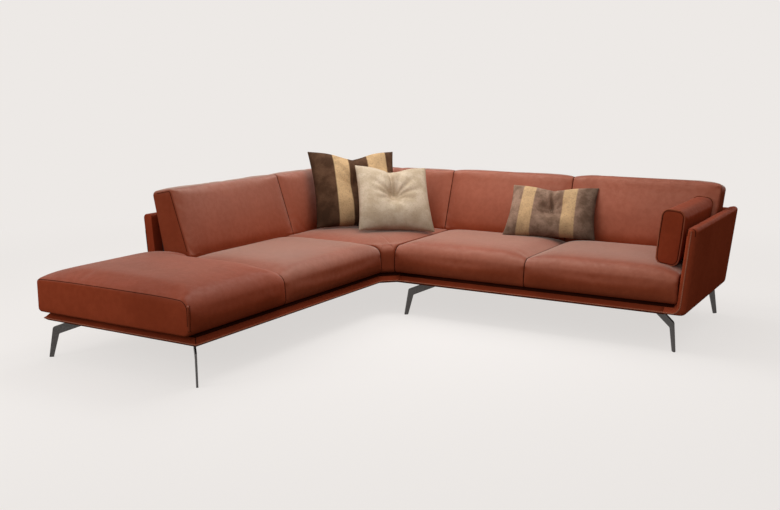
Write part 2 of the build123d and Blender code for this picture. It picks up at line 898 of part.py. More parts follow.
# Corner seat: a square with a small chamfered front and a crown that rises in two tapers
with BuildSketch(plan_plane(cushion_bottom)) as corner_seat_outline:
    with BuildLine():
        Polyline(
            (-seat_inset, -corner_seam_left + half_seam),
            (corner_seam_right - half_seam, seat_inset),
            (corner_seam_right - half_seam, seat_depth),
            (-seat_depth, seat_depth),
            (-seat_depth, -corner_seam_left + half_seam),
            close=True,
        )
    make_face()
corner_rise = (seat_crown + seat_draw) / 2
with BuildPart() as corner_seat_cushion:
    extrude(corner_seat_outline.sketch, amount=seat_height - seat_draw - cushion_bottom)
    front_bottom = edges().group_by(Axis.Z)[0].filter_by(lambda edge: edge.length < 2 * corner_cut)
    fillet(front_bottom, seat_bottom_roll)
    for corner_taper in corner_tapers:
        extrude(faces().sort_by(Axis.Z)[-1], amount=corner_rise, taper=corner_taper)
save(corner_seat_cushion, "corner_seat_cushion")


def back_section(plane, swell):
    """Back cushion section: an upright foot, a leaning front, a crowned top and a leaning rear."""
    draw = back_draw * (1 - swell)
    top = back_top - draw
    rear_top = back_top - back_rear_drop - draw
    front_top = back_face(top) + draw
    rear_edge = back_rear_face(rear_top)
    start = back_lean_start + draw
    bulge_z = (start + top) / 2
    bulge = back_face(bulge_z) + draw / 2 - back_crown * swell
    reach = back_edge_radius * 2
    with BuildSketch(plane) as section:
        with BuildLine():
            Line((back_foot, cushion_bottom), (back_front, cushion_bottom))
            Line((back_front, cushion_bottom), (back_front, back_lean_start))
            ThreePointArc(
                (back_front, back_lean_start),
                (bulge, bulge_z),
                (front_top - front_slope * back_edge_radius, top - back_edge_radius),
            )
            ThreePointArc(
                (front_top - front_slope * back_edge_radius, top - back_edge_radius),
                (front_top + back_edge_radius * 0.3, top - back_edge_radius * 0.2),
                (front_top + reach, top),
            )
            ThreePointArc(
                (front_top + reach, top),
                ((front_top + rear_edge) / 2, (top + rear_top) / 2 + back_crown * (0.5 + swell / 2)),
                (rear_edge, rear_top),
            )
            Line((rear_edge, rear_top), (back_rear_face(back_lean_start), back_lean_start))
            Line((back_rear_face(back_lean_start), back_lean_start), (back_foot, cushion_bottom))
        make_face()
    return section.sketch


def back_loft(wing, start, end, end_lean=0):
    """Back cushion between two seams of a wing."""
    with BuildPart() as back:
        loft(
            [
                back_section(wing_plane(wing, station, lean), swell)
                for station, swell, lean in swell_stations(start, end, end_lean)
            ],
            ruled=True,
        )
    return back


save(back_loft("left", -back_end, back_seam - half_seam), "left_back_cushion")
save(back_loft("right", back_seam + half_seam, right_back_seam - half_seam), "right_back_cushion_inner")
save(
    back_loft("right", right_back_seam + half_seam, seat_end, back_end_lean),
    "right_back_cushion_outer",
)

# Corner back: two halves that meet on the mitre of the corner
corner_back_mitre = mitre_plane(0, 0, -1, -1)
corner_back_halves = {
    "corner_back_cushion_left": ("left", back_seam + half_seam, tray_depth, Keep.TOP),
    "corner_back_cushion_right": ("right", back_seam - half_seam, -tray_depth, Keep.BOTTOM),
}
for half_name, (wing, seam, far_end, kept_side) in corner_back_halves.items():
    with BuildPart() as half:
        loft(
            [
                back_section(wing_plane(wing, seam + share * (far_end - seam)), swell)
                for share, swell in ((0, 0), (0.04, 0.35), (0.1, 0.65), (0.22, 0.9), (0.4, 1), (1, 1))
            ],
            ruled=True,
        )
        split(bisect_by=corner_back_mitre, keep=kept_side)
    save(half, half_name)


# Legs: a blade bent like a 7, welded under its plate
plate_bottom = rail_bottom - plate_thickness
leg_shoulder = (leg_shoulder_x, leg_height - leg_shoulder_drop)
leg_crook = (leg_crook_x, leg_height - leg_crook_drop)


def leg_blade_plane(foot):
    """Upright plane of a leg's blade, with x along the leg's arm from the foot's centre."""
    u, v, du, dv = foot
    return Plane(origin=(inner_x + u, inner_y + v, 0), x_dir=(du, dv, 0), z_dir=(dv, -du, 0))


def leg(foot):
    """Blade leg with its plate."""
    half_foot = foot_width / 2
    with BuildPart() as blade:
        with BuildSketch(leg_blade_plane(foot)):
            with BuildLine():
                Polyline(
                    (-half_foot, glide_height),
                    leg_shoulder,
                    (leg_rise_x, plate_bottom),
                    (leg_reach, plate_bottom),
                    (leg_reach, plate_bottom - leg_tip_depth),
                    leg_crook,
                    (half_foot, glide_height),
                    close=True,
                )
            make_face()
            fillet(vertices().sort_by_distance(leg_shoulder)[0], leg_bend_round)
            fillet(vertices().sort_by_distance(leg_crook)[0], leg_crook_round)
        extrude(amount=blade_thickness / 2, both=True)
        with BuildSketch(plate_plane(foot, plate_bottom)):
            Rectangle(plate_length, plate_width)
            chamfer(vertices(), bolt_head_radius)
        extrude(amount=plate_thickness)
        cut_bolt_holes([foot], plate_bottom, rail_bottom)
    return blade


for leg_name, foot in (left_legs | right_legs).items():
    save(leg(foot), leg_name)


def leg_bolts(feet):
    """Four bolts a leg, from below the plates up into the corner blocks."""
    with BuildPart() as bolts:
        for foot in feet:
            with BuildSketch(plate_plane(foot, plate_bottom - bolt_head_height)):
                with GridLocations(bolt_spacing_along, bolt_spacing_across, 2, 2):
                    RegularPolygon(bolt_head_radius, head_sides)
            extrude(amount=bolt_head_height)
            with BuildSketch(plate_plane(foot, plate_bottom)):
                with GridLocations(bolt_spacing_along, bolt_spacing_across, 2, 2):
                    RegularPolygon(bolt_radius, shank_sides, major_radius=False)
            extrude(amount=plate_thickness + bolt_grip)
    return bolts


save(leg_bolts(left_legs.values()), "left_leg_bolts")
save(leg_bolts(right_legs.values()), "right_leg_bolts")


def glides(feet):
    """A thin glide under each foot."""
    with BuildPart() as pads:
        for u, v, du, dv in feet:
            with BuildSketch(Plane(origin=(inner_x + u, inner_y + v, 0), x_dir=(du, dv, 0), z_dir=(0, 0, 1))):
                Rectangle(foot_width, blade_thickness)
                chamfer(vertices(), blade_thickness / 4)
            extrude(amount=glide_height)
    return pads


save(glides(left_legs.values()), "left_glides")
save(glides(right_legs.values()), "right_glides")

# Connectors: tongues on the right section slide into receivers on the left one
with BuildPart() as joint_receivers:
    for place in connector_places:
        with BuildSketch(wing_plane("right", joint_offset - rail_width)):
            with Locations((place, rail_bottom + receiver_height / 2)):
                Rectangle(receiver_width, receiver_height)
            with Locations((place, rail_bottom + (tongue_thickness + 2 * slide_clearance) / 2)):
                Rectangle(
                    tongue_width + 2 * slide_clearance,
                    tongue_thickness + 2 * slide_clearance,
                    mode=Mode.SUBTRACT,
                )
        extrude(amount=rail_width)
save(joint_receivers, "joint_receivers")

tongue_length = tongue_reach + seam_gap + rail_width
with BuildPart() as joint_tongues:
    for place in connector_places:
        with BuildSketch(plan_plane(tongue_z)):
            with Locations((joint_offset - tongue_reach + tongue_length / 2, place)):
                Rectangle(tongue_length, tongue_width)
            chamfer(vertices().group_by(Axis.X)[0], tongue_thickness)
        extrude(amount=tongue_thickness)
save(joint_tongues, "joint_tongues")

# Arm bolster: a piped box cushion that leans with the arm, lies on the outer seat and meets the leaning back
bolster_tilt = radians(bolster_lean)
bolster_side = Vector(cos(bolster_tilt), 0, -sin(bolster_tilt))
bolster_up = Vector(sin(bolster_tilt), 0, cos(bolster_tilt))
bolster_foot_z = seat_height + bolster_rise
bolster_foot_u = (
    right_length + shell_slope * (bolster_foot_z - leg_height) - arm_thickness - bolster_arm_gap - bolster_width
)
bolster_back = back_face(bolster_foot_z) - bolster_back_gap


def bolster_section(station, swell, back_lean):
    """Flat foot and three bowed sides that meet at the piped edges."""
    draw = bolster_draw * (1 - swell)
    bulge = bolster_bulge * (0.3 + 0.7 * swell)
    height = (bolster_height - draw) / cos(radians(back_lean))
    low_left, low_right = (draw, 0), (bolster_width - draw, 0)
    top_left, top_right = (draw, height), (bolster_width - draw, height)
    up = bolster_up * cos(radians(back_lean)) + Vector(0, sin(radians(back_lean)), 0)
    plane = Plane(
        origin=(inner_x + bolster_foot_u, inner_y + station, bolster_foot_z),
        x_dir=bolster_side,
        z_dir=bolster_side.cross(up),
    )
    with BuildSketch(plane) as section:
        with BuildLine():
            Line(low_left, low_right)
            ThreePointArc(low_right, (low_right[0] + bulge, height / 2), top_right)
            ThreePointArc(top_right, (bolster_width / 2, height + bulge), top_left)
            ThreePointArc(top_left, (low_left[0] - bulge, height / 2), low_left)
        make_face()
    return section.sketch


with BuildPart() as arm_bolster:
    loft(
        [
            bolster_section(station, swell, lean)
            for station, swell, lean in swell_stations(bolster_front, bolster_back, back_front_lean)
        ],
        ruled=True,
    )
save(arm_bolster, "arm_bolster")


# Scatter cushions: bowed panels sewn at drawn-in edges, pinched by a tuft in the middle
class Pillow:
    """Size, place and turn of a scatter cushion: its foot is the middle of its lower edge."""

    def __init__(self, size, place, drop, turn, lean):
        self.width, self.height, self.thickness = size
        self.foot = Vector(inner_x + place[0], inner_y + place[1], seat_height + seat_crown - drop)
        turned, leaned = radians(turn), radians(lean)
        outward = Vector(sin(turned), -cos(turned), 0)
        self.across = Vector(cos(turned), sin(turned), 0)
        self.up = Vector(0, 0, cos(leaned)) - outward * sin(leaned)
        self.outward = self.across.cross(self.up)
        self.corner = self.foot - self.across * (self.width / 2)


def pillow_lens(plane, length, thickness):
    """Section of a filled cushion: thin sewn ends and two bowed faces."""
    with BuildSketch(plane) as section:
        with BuildLine():
            Line((0, -pillow_edge), (0, pillow_edge))
            ThreePointArc((0, pillow_edge), (length / 2, thickness / 2), (length, pillow_edge))
            Line((length, pillow_edge), (length, -pillow_edge))
            ThreePointArc((length, -pillow_edge), (length / 2, -thickness / 2), (0, -pillow_edge))
        make_face()
    return section.sketch


def pillow_outline(plane, width, height):
    """Outline of a scatter cushion, whose sides are drawn in between its corners."""
    with BuildSketch(plane) as outline:
        with BuildLine():
            ThreePointArc((0, 0), (width / 2, pillow_draw), (width, 0))
            ThreePointArc((width, 0), (width - pillow_draw, height / 2), (width, height))
            ThreePointArc((width, height), (width / 2, height - pillow_draw), (0, height))
            ThreePointArc((0, height), (pillow_draw, height / 2), (0, 0))
        make_face()
    return outline.sketch


def pillow_solid(pillow):
    """Scatter cushion with a tuft in the middle of its face."""
    half = pillow.thickness / 2
    side_plane = Plane(origin=pillow.corner, x_dir=pillow.up, z_dir=pillow.across)
    lower_plane = Plane(origin=pillow.corner, x_dir=pillow.across, z_dir=pillow.up)
    rear_plane = Plane(
        origin=pillow.corner - pillow.outward * half, x_dir=pillow.across, z_dir=pillow.outward
    )
    tuft = pillow.foot + pillow.up * (pillow.height / 2) + pillow.outward * (half + tuft_radius - tuft_depth)
    with BuildPart() as cushion:
        extrude(pillow_lens(side_plane, pillow.height, pillow.thickness), amount=pillow.width)
        extrude(
            pillow_lens(lower_plane, pillow.width, pillow.thickness),
            amount=pillow.height,
            mode=Mode.INTERSECT,
        )
        extrude(
            pillow_outline(rear_plane, pillow.width, pillow.height),
            amount=pillow.thickness,
            mode=Mode.INTERSECT,
        )
        with Locations(tuft):
            Sphere(tuft_radius, mode=Mode.SUBTRACT)
    return cushion


pillows = {
    "pillow_large": Pillow(
        (large_pillow_size, large_pillow_size, large_pillow_thickness),
        (large_pillow_offset[0] - back_front, back_front - large_pillow_offset[1]),
        large_pillow_drop,
        large_pillow_turn,
        large_pillow_lean,
    ),
    "pillow_beige": Pillow(
        (beige_pillow_size, beige_pillow_size, beige_pillow_thickness),
        (beige_pillow_offset[0] - back_front, back_front - beige_pillow_offset[1]),
        beige_pillow_drop,
        beige_pillow_turn,
        beige_pillow_lean,
    ),
    "pillow_lumbar": Pillow(
        (lumbar_pillow_width, lumbar_pillow_height, lumbar_pillow_thickness),
        (right_back_seam + lumbar_pillow_offset[0], back_front - lumbar_pillow_offset[1]),
        lumbar_pillow_drop,
        lumbar_pillow_turn,
        lumbar_pillow_lean,
    ),
}
for pillow_name, pillow in pillows.items():
    save(pillow_solid(pillow), pillow_name)
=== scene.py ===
"""Looks of a leather corner sofa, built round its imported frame.

Lengths are in metres. Plan places are (u, v) from the inner corner, where the front lips of the two wings
would meet: u runs along the right wing and v runs to the back. In each wing, depth runs back from the lip.
"""

import json
from collections import namedtuple
from math import cos, pi, radians, sin, tan

import bpy
import numpy as np
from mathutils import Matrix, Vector

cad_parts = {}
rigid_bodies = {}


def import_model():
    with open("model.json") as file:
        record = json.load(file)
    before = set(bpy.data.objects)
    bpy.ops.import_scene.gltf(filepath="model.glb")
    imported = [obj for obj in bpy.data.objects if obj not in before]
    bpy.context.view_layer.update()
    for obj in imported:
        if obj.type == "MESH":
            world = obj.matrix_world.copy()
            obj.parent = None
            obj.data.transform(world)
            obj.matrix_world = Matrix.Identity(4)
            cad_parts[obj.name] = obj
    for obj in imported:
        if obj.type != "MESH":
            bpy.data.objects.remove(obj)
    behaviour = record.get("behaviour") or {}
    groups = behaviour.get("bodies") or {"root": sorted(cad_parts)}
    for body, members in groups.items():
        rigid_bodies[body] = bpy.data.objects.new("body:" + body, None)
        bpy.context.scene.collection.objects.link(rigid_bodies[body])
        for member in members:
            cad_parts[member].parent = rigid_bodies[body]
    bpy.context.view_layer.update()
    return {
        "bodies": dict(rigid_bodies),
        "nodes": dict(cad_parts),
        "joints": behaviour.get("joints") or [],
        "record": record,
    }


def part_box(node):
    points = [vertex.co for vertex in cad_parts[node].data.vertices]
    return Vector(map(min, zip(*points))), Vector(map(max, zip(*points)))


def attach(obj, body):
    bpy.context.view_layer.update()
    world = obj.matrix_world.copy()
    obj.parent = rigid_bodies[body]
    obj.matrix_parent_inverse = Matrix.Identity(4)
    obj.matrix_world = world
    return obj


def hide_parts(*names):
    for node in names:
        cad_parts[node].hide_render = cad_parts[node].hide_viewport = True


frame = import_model()
scene = bpy.context.scene

corner_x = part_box("left_end_border")[1].x
corner_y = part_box("right_front_border")[0].y
origin = np.array((corner_x, corner_y, 0.0))


def span(node):
    """Lowest and highest (u, v, z) of a CAD node."""
    low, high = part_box(node)
    return np.array(low) - origin, np.array(high) - origin


# Levels and depths of the frame that the soft pieces are shaped to
tray_depth = -span("left_end_border")[0][0]
tray_bottom = span("left_front_border")[0][2]
tray_top = span("left_front_border")[1][2]
left_end = span("left_end_border")[0][1]
shell_low, shell_high = span("left_back_shell")
shell_top = shell_high[2]
shell_flange = tray_depth + shell_high[0]
shell_reach = -shell_low[0]
shell_slope = (shell_reach - tray_depth) / (shell_top - tray_bottom)
joint = span("corner_back_shell")[1][0]
seat_low, seat_high = span("left_seat_cushion")
seat_front = -seat_high[0]
seat_rear = -seat_low[0]
seat_base = seat_low[2]
back_low, back_high = span("left_back_cushion")
back_front = -back_high[0]
back_rear_top = -back_low[0]


# Outlines and skins
def rounded(corners, edge_steps, arc_steps=6):
    """Closed counter-clockwise outline through corners given as (x, y, radius).

    Each corner becomes an arc of arc_steps, and each edge after it is divided into its number of edge steps.
    """
    places = np.array([corner[:2] for corner in corners], float)
    arcs = []
    for index, (x, y, radius) in enumerate(corners):
        corner = np.array((x, y))
        back = places[index - 1] - corner
        ahead = places[(index + 1) % len(corners)] - corner
        back_length, ahead_length = np.linalg.norm(back), np.linalg.norm(ahead)
        back, ahead = back / back_length, ahead / ahead_length
        half_turn = (pi - np.arccos(np.clip(back @ ahead, -1, 1))) / 2
        reach = min(radius * tan(half_turn), 0.49 * back_length, 0.49 * ahead_length)
        weight = cos(half_turn)
        shares = np.linspace(0, 1, arc_steps + 1)[:, None]
        near, middle, far = (1 - shares) ** 2, 2 * weight * shares * (1 - shares), shares**2
        points = near * (corner + back * reach) + middle * corner + far * (corner + ahead * reach)
        arcs.append(points / (near + middle + far))
    outline = []
    for index, arc in enumerate(arcs):
        following = arcs[(index + 1) % len(arcs)]
        outline.extend(arc)
        for step in range(1, edge_steps[index]):
            share = step / edge_steps[index]
            outline.append(arc[-1] * (1 - share) + following[0] * share)
    return np.array(outline)


def unit(vectors):
    """Vectors at a length of 1."""
    return vectors / np.linalg.norm(vectors, axis=-1, keepdims=True)


def inward(outline):
    """Unit normals of a counter-clockwise outline, pointing inside."""
    along = np.roll(outline, -1, 0) - np.roll(outline, 1, 0)
    return unit(np.stack((-along[:, 1], along[:, 0]), 1))


def stations(start, end, start_round, end_round, pitch):
    """Places along a cushion and how far its outline is drawn in there, with a quarter round at each end."""
    turns = [radians(angle) for angle in (90, 62, 35, 12)]
    first = [(start + start_round * (1 - sin(turn)), start_round * (1 - cos(turn))) for turn in turns]
    last = [(end - end_round * (1 - sin(turn)), end_round * (1 - cos(turn))) for turn in reversed(turns)]
    count = max(2, round((end - start - start_round - end_round) / pitch))
    middle = np.linspace(start + start_round, end - end_round, count + 1)
    return first + [(place, 0.0) for place in middle] + last


def on_left(depth, along, z):
    """Plan place of points of the left wing."""
    return np.stack((-depth, along, z), 1)


def on_right(depth, along, z):
    """Plan place of points of the right wing."""
    return np.stack((along, depth, z), 1)


def skin(rings, caps=True):
    """Points and faces of a skin over closed rings of equal size.

    Each cap is a row of quads between the two halves of its ring, so that it suits a bent outline too.
    """
    rings = np.array(rings)
    count, size = rings.shape[:2]
    faces = []
    for ring in range(count - 1):
        here, there = ring * size, (ring + 1) * size
        for point in range(size):
            after = (point + 1) % size
            faces.append((here + point, here + after, there + after, there + point))
    if caps:
        last = (count - 1) * size
        for near in range((size - 1) // 2):
            far = size - 1 - near
            quad = tuple(dict.fromkeys((near, near + 1, far - 1, far)))
            faces.append(quad[::-1])
            faces.append(tuple(last + point for point in quad))
    return rings.reshape(-1, 3), faces


# A direction that no tube runs along
tube_reference = (0.31, 0.17, 0.93)


def tube(path, radius, sides=8, closed=False):
    """Rings of a round tube along a path of points."""
    path = np.array(path, float)
    if closed:
        ahead = np.roll(path, -1, 0) - np.roll(path, 1, 0)
    else:
        ahead = np.gradient(path, axis=0)
    ahead = unit(ahead)
    side = unit(np.cross(ahead, tube_reference))
    up = np.cross(side, ahead)
    turns = np.linspace(0, 2 * pi, sides, endpoint=False)
    rings = [
        place + radius * (np.cos(turns)[:, None] * left + np.sin(turns)[:, None] * top)
        for place, left, top in zip(path, side, up)
    ]
    return rings + rings[:1] if closed else rings


def resample(path, pitch):
    """Points about one pitch apart along a path."""
    path = np.array(path, float)
    lengths = np.r_[0, np.cumsum(np.linalg.norm(np.diff(path, axis=0), axis=1))]
    places = np.linspace(0, lengths[-1], max(2, round(lengths[-1] / pitch) + 1))
    return np.stack([np.interp(places, lengths, path[:, axis]) for axis in range(3)], 1)


# Pieces: a soft one has points held by seams, slack, a limit to its swelling, flat panels and folds
SoftPiece = namedtuple("SoftPiece", "piece held slack swelling flat folds", defaults=(None, None))
smoothed = []
soft_pieces = []


def add_piece(name, points, faces, material, body, slot="leather", replaced=(), subdivide=False):
    """Object of a piece in plan coordinates, which rides on a body and stands for CAD nodes."""
    mesh = bpy.data.meshes.new(name)
    mesh.from_pydata((np.array(points) + origin).tolist(), [], faces)
    mesh.polygons.foreach_set("use_smooth", [True] * len(mesh.polygons))
    mesh.materials.append(material)
    mesh.update()
    piece = bpy.data.objects.new(name, mesh)
    scene.collection.objects.link(piece)
    if subdivide:
        smoothed.append(piece)
    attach(piece, body)
    if replaced:
        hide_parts(*replaced)
    return piece


def add_padded(name, rings, material, body, replaced, soft=None, subdivide=True, flip=False):
    """Padded leather piece over rings, which stands for CAD nodes.

    Soft is (held points of each ring, slack, limit of the swelling) for a piece that pressure fills.
    """
    points, faces = skin(rings)
    if flip:
        faces = [face[::-1] for face in faces]
    piece = add_piece(name, points, faces, material, body, "leather", replaced, subdivide)
    if soft:
        held, slack, swelling = soft
        soft_pieces.append(SoftPiece(piece, np.concatenate(held), slack, swelling))


def join_meshes(meshes):
    """One list of points and faces out of several."""
    points, faces, shift = [], [], 0
    for mesh_points, mesh_faces in meshes:
        points.extend(np.array(mesh_points))
        faces.extend(tuple(index + shift for index in face) for face in mesh_faces)
        shift += len(mesh_points)
    return np.array(points), faces


# Materials
class Shader:
    """The nodes of a material or world, written as calls."""

    def __init__(self, owner):
        owner.use_nodes = True
        self.owner = owner
        self.tree = owner.node_tree

    def put(self, socket, value):
        """Link a socket to another one or set its value."""
        if isinstance(value, bpy.types.NodeSocket):
            self.tree.links.new(value, socket)
        elif socket.type == "RGBA":
            socket.default_value = (*value, 1)
        else:
            socket.default_value = value

    def node(self, kind, output, *values, settings=None, **inputs):
        """Add a node, fill its inputs by order or by name, and return one of its outputs."""
        node = self.tree.nodes.new("ShaderNode" + kind)
        for key, value in (settings or {}).items():
            setattr(node, key, value)
        for socket, value in zip(node.inputs, values):
            self.put(socket, value)
        for key, value in inputs.items():
            self.put(node.inputs[key.replace("_", " ")], value)
        return node.outputs[output]

    def noise(self, place, scale, detail=3.0, roughness=0.5):
        """Even noise at a place."""
        return self.node("TexNoise", "Fac", Vector=place, Scale=scale, Detail=detail, Roughness=roughness)

    def spread(self, value, low, high, to_low=0.0, to_high=1.0):
        """Map a range of values to another, smoothly."""
        smooth = {"interpolation_type": "SMOOTHSTEP"}
        return self.node("MapRange", "Result", value, low, high, to_low, to_high, settings=smooth)

    def blend(self, factor, first, second):
        """Mix two colours."""
        node = self.tree.nodes.new("ShaderNodeMix")
        node.data_type = "RGBA"
        for index, value in ((0, factor), (6, first), (7, second)):
            self.put(node.inputs[index], value)
        return node.outputs[2]

    def math(self, operation, first, second):
        """Reckon with two values."""
        return self.node("Math", 0, first, second, settings={"operation": operation})

    def place(self, output="Object"):
        """Place on the piece, in its own space or on its sewn panel."""
        return self.node("TexCoord", output)

    def bump(self, height, strength, distance, **normal):
        """Normal of a relief, laid over another one if that is given."""
        return self.node("Bump", "Normal", Height=height, Strength=strength, Distance=distance, **normal)

    def seen_rays(self):
        """Factor that is 1 for camera, glossy and transmission rays."""
        total = self.node("LightPath", "Is Camera Ray")
        for name in ("Is Glossy Ray", "Is Transmission Ray"):
            total = self.math("MAXIMUM", total, self.node("LightPath", name))
        return total

    def finish(self, **inputs):
        """Fill the surface's own sockets and return the material."""
        for key, value in inputs.items():
            self.put(self.tree.nodes["Principled BSDF"].inputs[key.replace("_", " ")], value)
        return self.owner


def darker(colour, share):
    """A colour at a share of its brightness."""
    return tuple(share * part for part in colour)


def leather(name, light, dark, rough=0.58, painted_sheen=0.75, painted_gloss=0.6):
    """Satin leather with clouded colour, a pebbled grain and faint creases.

    Leaning faces get a painted gloss and upward ones a painted pale sheen: the specular and sheen weights
    follow the way each face points, as under a wide sky.
    """
    shader = Shader(bpy.data.materials.new(name))
    place = shader.place()
    cloud = shader.spread(shader.noise(place, 2.3, 4.0, 0.55), 0.32, 0.68)
    mottle = shader.spread(shader.noise(place, 34.0, 5.0, 0.6), 0.3, 0.7)
    colour = shader.blend(cloud, dark, light)
    colour = shader.blend(shader.spread(mottle, 0, 1, 0.0, 0.22), colour, darker(dark, 0.72))
    to_edge = {"feature": "DISTANCE_TO_EDGE"}
    cells = shader.node("TexVoronoi", "Distance", Vector=place, Scale=330.0, settings=to_edge)
    grain = shader.spread(cells, 0.0, 0.22)
    crease = shader.noise(place, 75.0, 6.0, 0.65)
    fine = shader.bump(grain, 0.16, 0.0006)
    # Painted highlight: gloss on leaning faces and sheen on upward faces, weighted by the direction each
    # face points
    upward = shader.node("SeparateXYZ", "Z", Vector=shader.node("NewGeometry", "Normal"))
    leaning = shader.spread(upward, -0.05, 0.40, 0.0, painted_gloss)
    not_flat = shader.spread(upward, 0.70, 1.0, 1.0, 0.07)
    return shader.finish(
        Base_Color=colour,
        Roughness=shader.spread(mottle, 0, 1, rough - 0.05, rough + 0.07),
        Normal=shader.bump(crease, 0.12, 0.0025, Normal=fine),
        Specular_IOR_Level=shader.math("MULTIPLY", leaning, not_flat),
        Specular_Tint=(1.0, 0.88, 0.72),
        Sheen_Weight=shader.spread(upward, 0.02, 0.7, 0.0, painted_sheen),
        Sheen_Roughness=0.42,
        Sheen_Tint=(1.0, 0.91, 0.79),
    )


def velvet(name, light, dark, band=None, bands=(), right_painted_shade=1.0, sheen=0.3):
    """Crushed velvet with painted shade that darkens it below and at the right, and woven bands where some
    are given.
    """
    shader = Shader(bpy.data.materials.new(name))
    place = shader.place()
    crush = shader.spread(shader.noise(place, 13.0, 4.0, 0.6), 0.34, 0.68)
    pile = shader.noise(place, 420.0, 3.0, 0.6)
    colour = shader.blend(crush, dark, light)
    across, up = (shader.node("SeparateXYZ", axis, shader.place("UV")) for axis in "XY")
    band_edge = 0.008
    for low, high in bands:
        rise = shader.spread(across, low - band_edge, low + band_edge)
        fall = shader.spread(across, high - band_edge, high + band_edge)
        woven = shader.blend(crush, darker(band, 0.78), band)
        colour = shader.blend(shader.math("SUBTRACT", rise, fall), colour, woven)
    specks = shader.noise(place, 130.0, 2.0, 0.7)
    shade = darker(dark, 0.5)
    colour = shader.blend(shader.spread(specks, 0.5, 0.72, 0.0, 0.4), colour, shade)
    colour = shader.blend(shader.spread(pile, 0.3, 0.7, 0.0, 0.25), colour, shade)
    # Painted shade: the colour darkens towards the panel's lower edge and towards its right edge by the
    # given factor
    low_painted_shade = shader.spread(up, 0.0, 0.5, 0.5, 1.0)
    side_painted_shade = shader.spread(across, 0.70, 1.0, 1.0, right_painted_shade)
    painted_shade = shader.math("MULTIPLY", low_painted_shade, side_painted_shade)
    colour = shader.blend(shader.math("SUBTRACT", 1.0, painted_shade), colour, darker(dark, 0.12))
    return shader.finish(
        Base_Color=colour,
        Roughness=0.85,
        Specular_IOR_Level=0.08,
        Normal=shader.bump(pile, 0.25, 0.0012, Normal=shader.bump(crush, 0.12, 0.004)),
        Sheen_Weight=sheen,
        Sheen_Roughness=0.4,
        Sheen_Tint=light,
    )


def grained(name, light, dark, roughness, metallic, scale, strength):
    """Plain hard or woven surface with fine uneven colour and relief."""
    shader = Shader(bpy.data.materials.new(name))
    specks = shader.noise(shader.place(), scale, 4.0, 0.6)
    return shader.finish(
        Base_Color=shader.blend(shader.spread(specks, 0.3, 0.7), dark, light),
        Roughness=shader.spread(specks, 0.3, 0.7, roughness - 0.06, roughness + 0.06),
        Metallic=metallic,
        Normal=shader.bump(specks, strength, 0.001),
    )


def wood(name, light, dark):
    """Planed wood with drawn-out grain."""
    shader = Shader(bpy.data.materials.new(name))
    stretched = shader.node("Mapping", "Vector", Vector=shader.place(), Scale=(6.0, 6.0, 60.0))
    rings = shader.noise(stretched, 2.0, 6.0, 0.65)
    colour = shader.blend(shader.spread(rings, 0.3, 0.7), dark, light)
    return shader.finish(Base_Color=colour, Roughness=0.55, Normal=shader.bump(rings, 0.15, 0.001))


# Copies of one leather with painted light: the main and ottoman copies carry the painted gloss and sheen in
# different amounts; the side copy for the arm, bolster and shells has a brighter base and little painted
# sheen; the tray copy is darker, painted shade; the lip copy is lighter, a painted highlight on welts and
# piping
leather_main = leather("leather", (0.315, 0.066, 0.029), (0.258, 0.051, 0.021))
leather_side = leather("leather_side", (0.350, 0.061, 0.024), (0.286, 0.047, 0.018), 0.6, 0.1, 0.03)
leather_open = leather("leather_open", (0.335, 0.060, 0.024), (0.275, 0.047, 0.018), 0.58, 0.32, 0.25)
leather_tray_shaded = leather("leather_tray_shaded", (0.250, 0.042, 0.016), (0.200, 0.033, 0.013), 0.55, 0.0, 0.0)
leather_lip_highlight = leather("leather_lip_highlight", (0.42, 0.125, 0.066), (0.33, 0.085, 0.042), 0.5, 0.0, 0.0)
# Near-black copy of the leather: painted shade for seams, grooves and gaps
leather_seam_shade = leather("leather_seam_shade", (0.050, 0.010, 0.005), (0.030, 0.006, 0.003), 0.6, 0.0, 0.0)
thread = grained("thread", (0.62, 0.34, 0.25), (0.45, 0.22, 0.15), 0.7, 0.0, 900.0, 0.3)
# One striped velvet in two copies: the lumbar's lighter taupe and the large pillow's darker taupe, which is
# painted shade
taupe, taupe_dark = (0.390, 0.246, 0.172), (0.185, 0.108, 0.070)
shaded_taupe, shaded_taupe_dark = (0.118, 0.058, 0.031), (0.060, 0.027, 0.013)
golden = (0.70, 0.455, 0.237)
large_bands = ((0.27, 0.44), (0.66, 0.89))
lumbar_bands = ((0.15, 0.30), (0.62, 0.77))
large_velvet = velvet("striped_velvet_large_shaded", shaded_taupe, shaded_taupe_dark, golden, large_bands, 1.0, 0.1)
lumbar_velvet = velvet("striped_velvet_lumbar", taupe, taupe_dark, golden, lumbar_bands, 0.4)
beige_velvet = velvet("beige_velvet", (0.69, 0.555, 0.41), (0.53, 0.405, 0.275))
node_materials = {
    "timber": wood("timber", (0.56, 0.40, 0.24), (0.42, 0.28, 0.15)),
    "plywood": wood("plywood", (0.62, 0.48, 0.31), (0.50, 0.36, 0.21)),
}
for slot, light, dark, *surface in (
    ("leg_steel", (0.105, 0.098, 0.095), (0.065, 0.061, 0.059), 0.34, 0.85, 160.0, 0.08),
    ("glide_plastic", (0.03, 0.03, 0.03), (0.018, 0.018, 0.018), 0.6, 0.0, 300.0, 0.15),
    ("fitting_steel", (0.55, 0.55, 0.56), (0.42, 0.42, 0.43), 0.34, 1.0, 220.0, 0.1),
    ("webbing", (0.22, 0.20, 0.165), (0.13, 0.115, 0.095), 0.85, 0.0, 500.0, 0.4),
    ("lining", (0.040, 0.039, 0.038), (0.022, 0.021, 0.021), 0.9, 0.0, 600.0, 0.35),
):
    node_materials[slot] = grained(slot, light, dark, *surface)
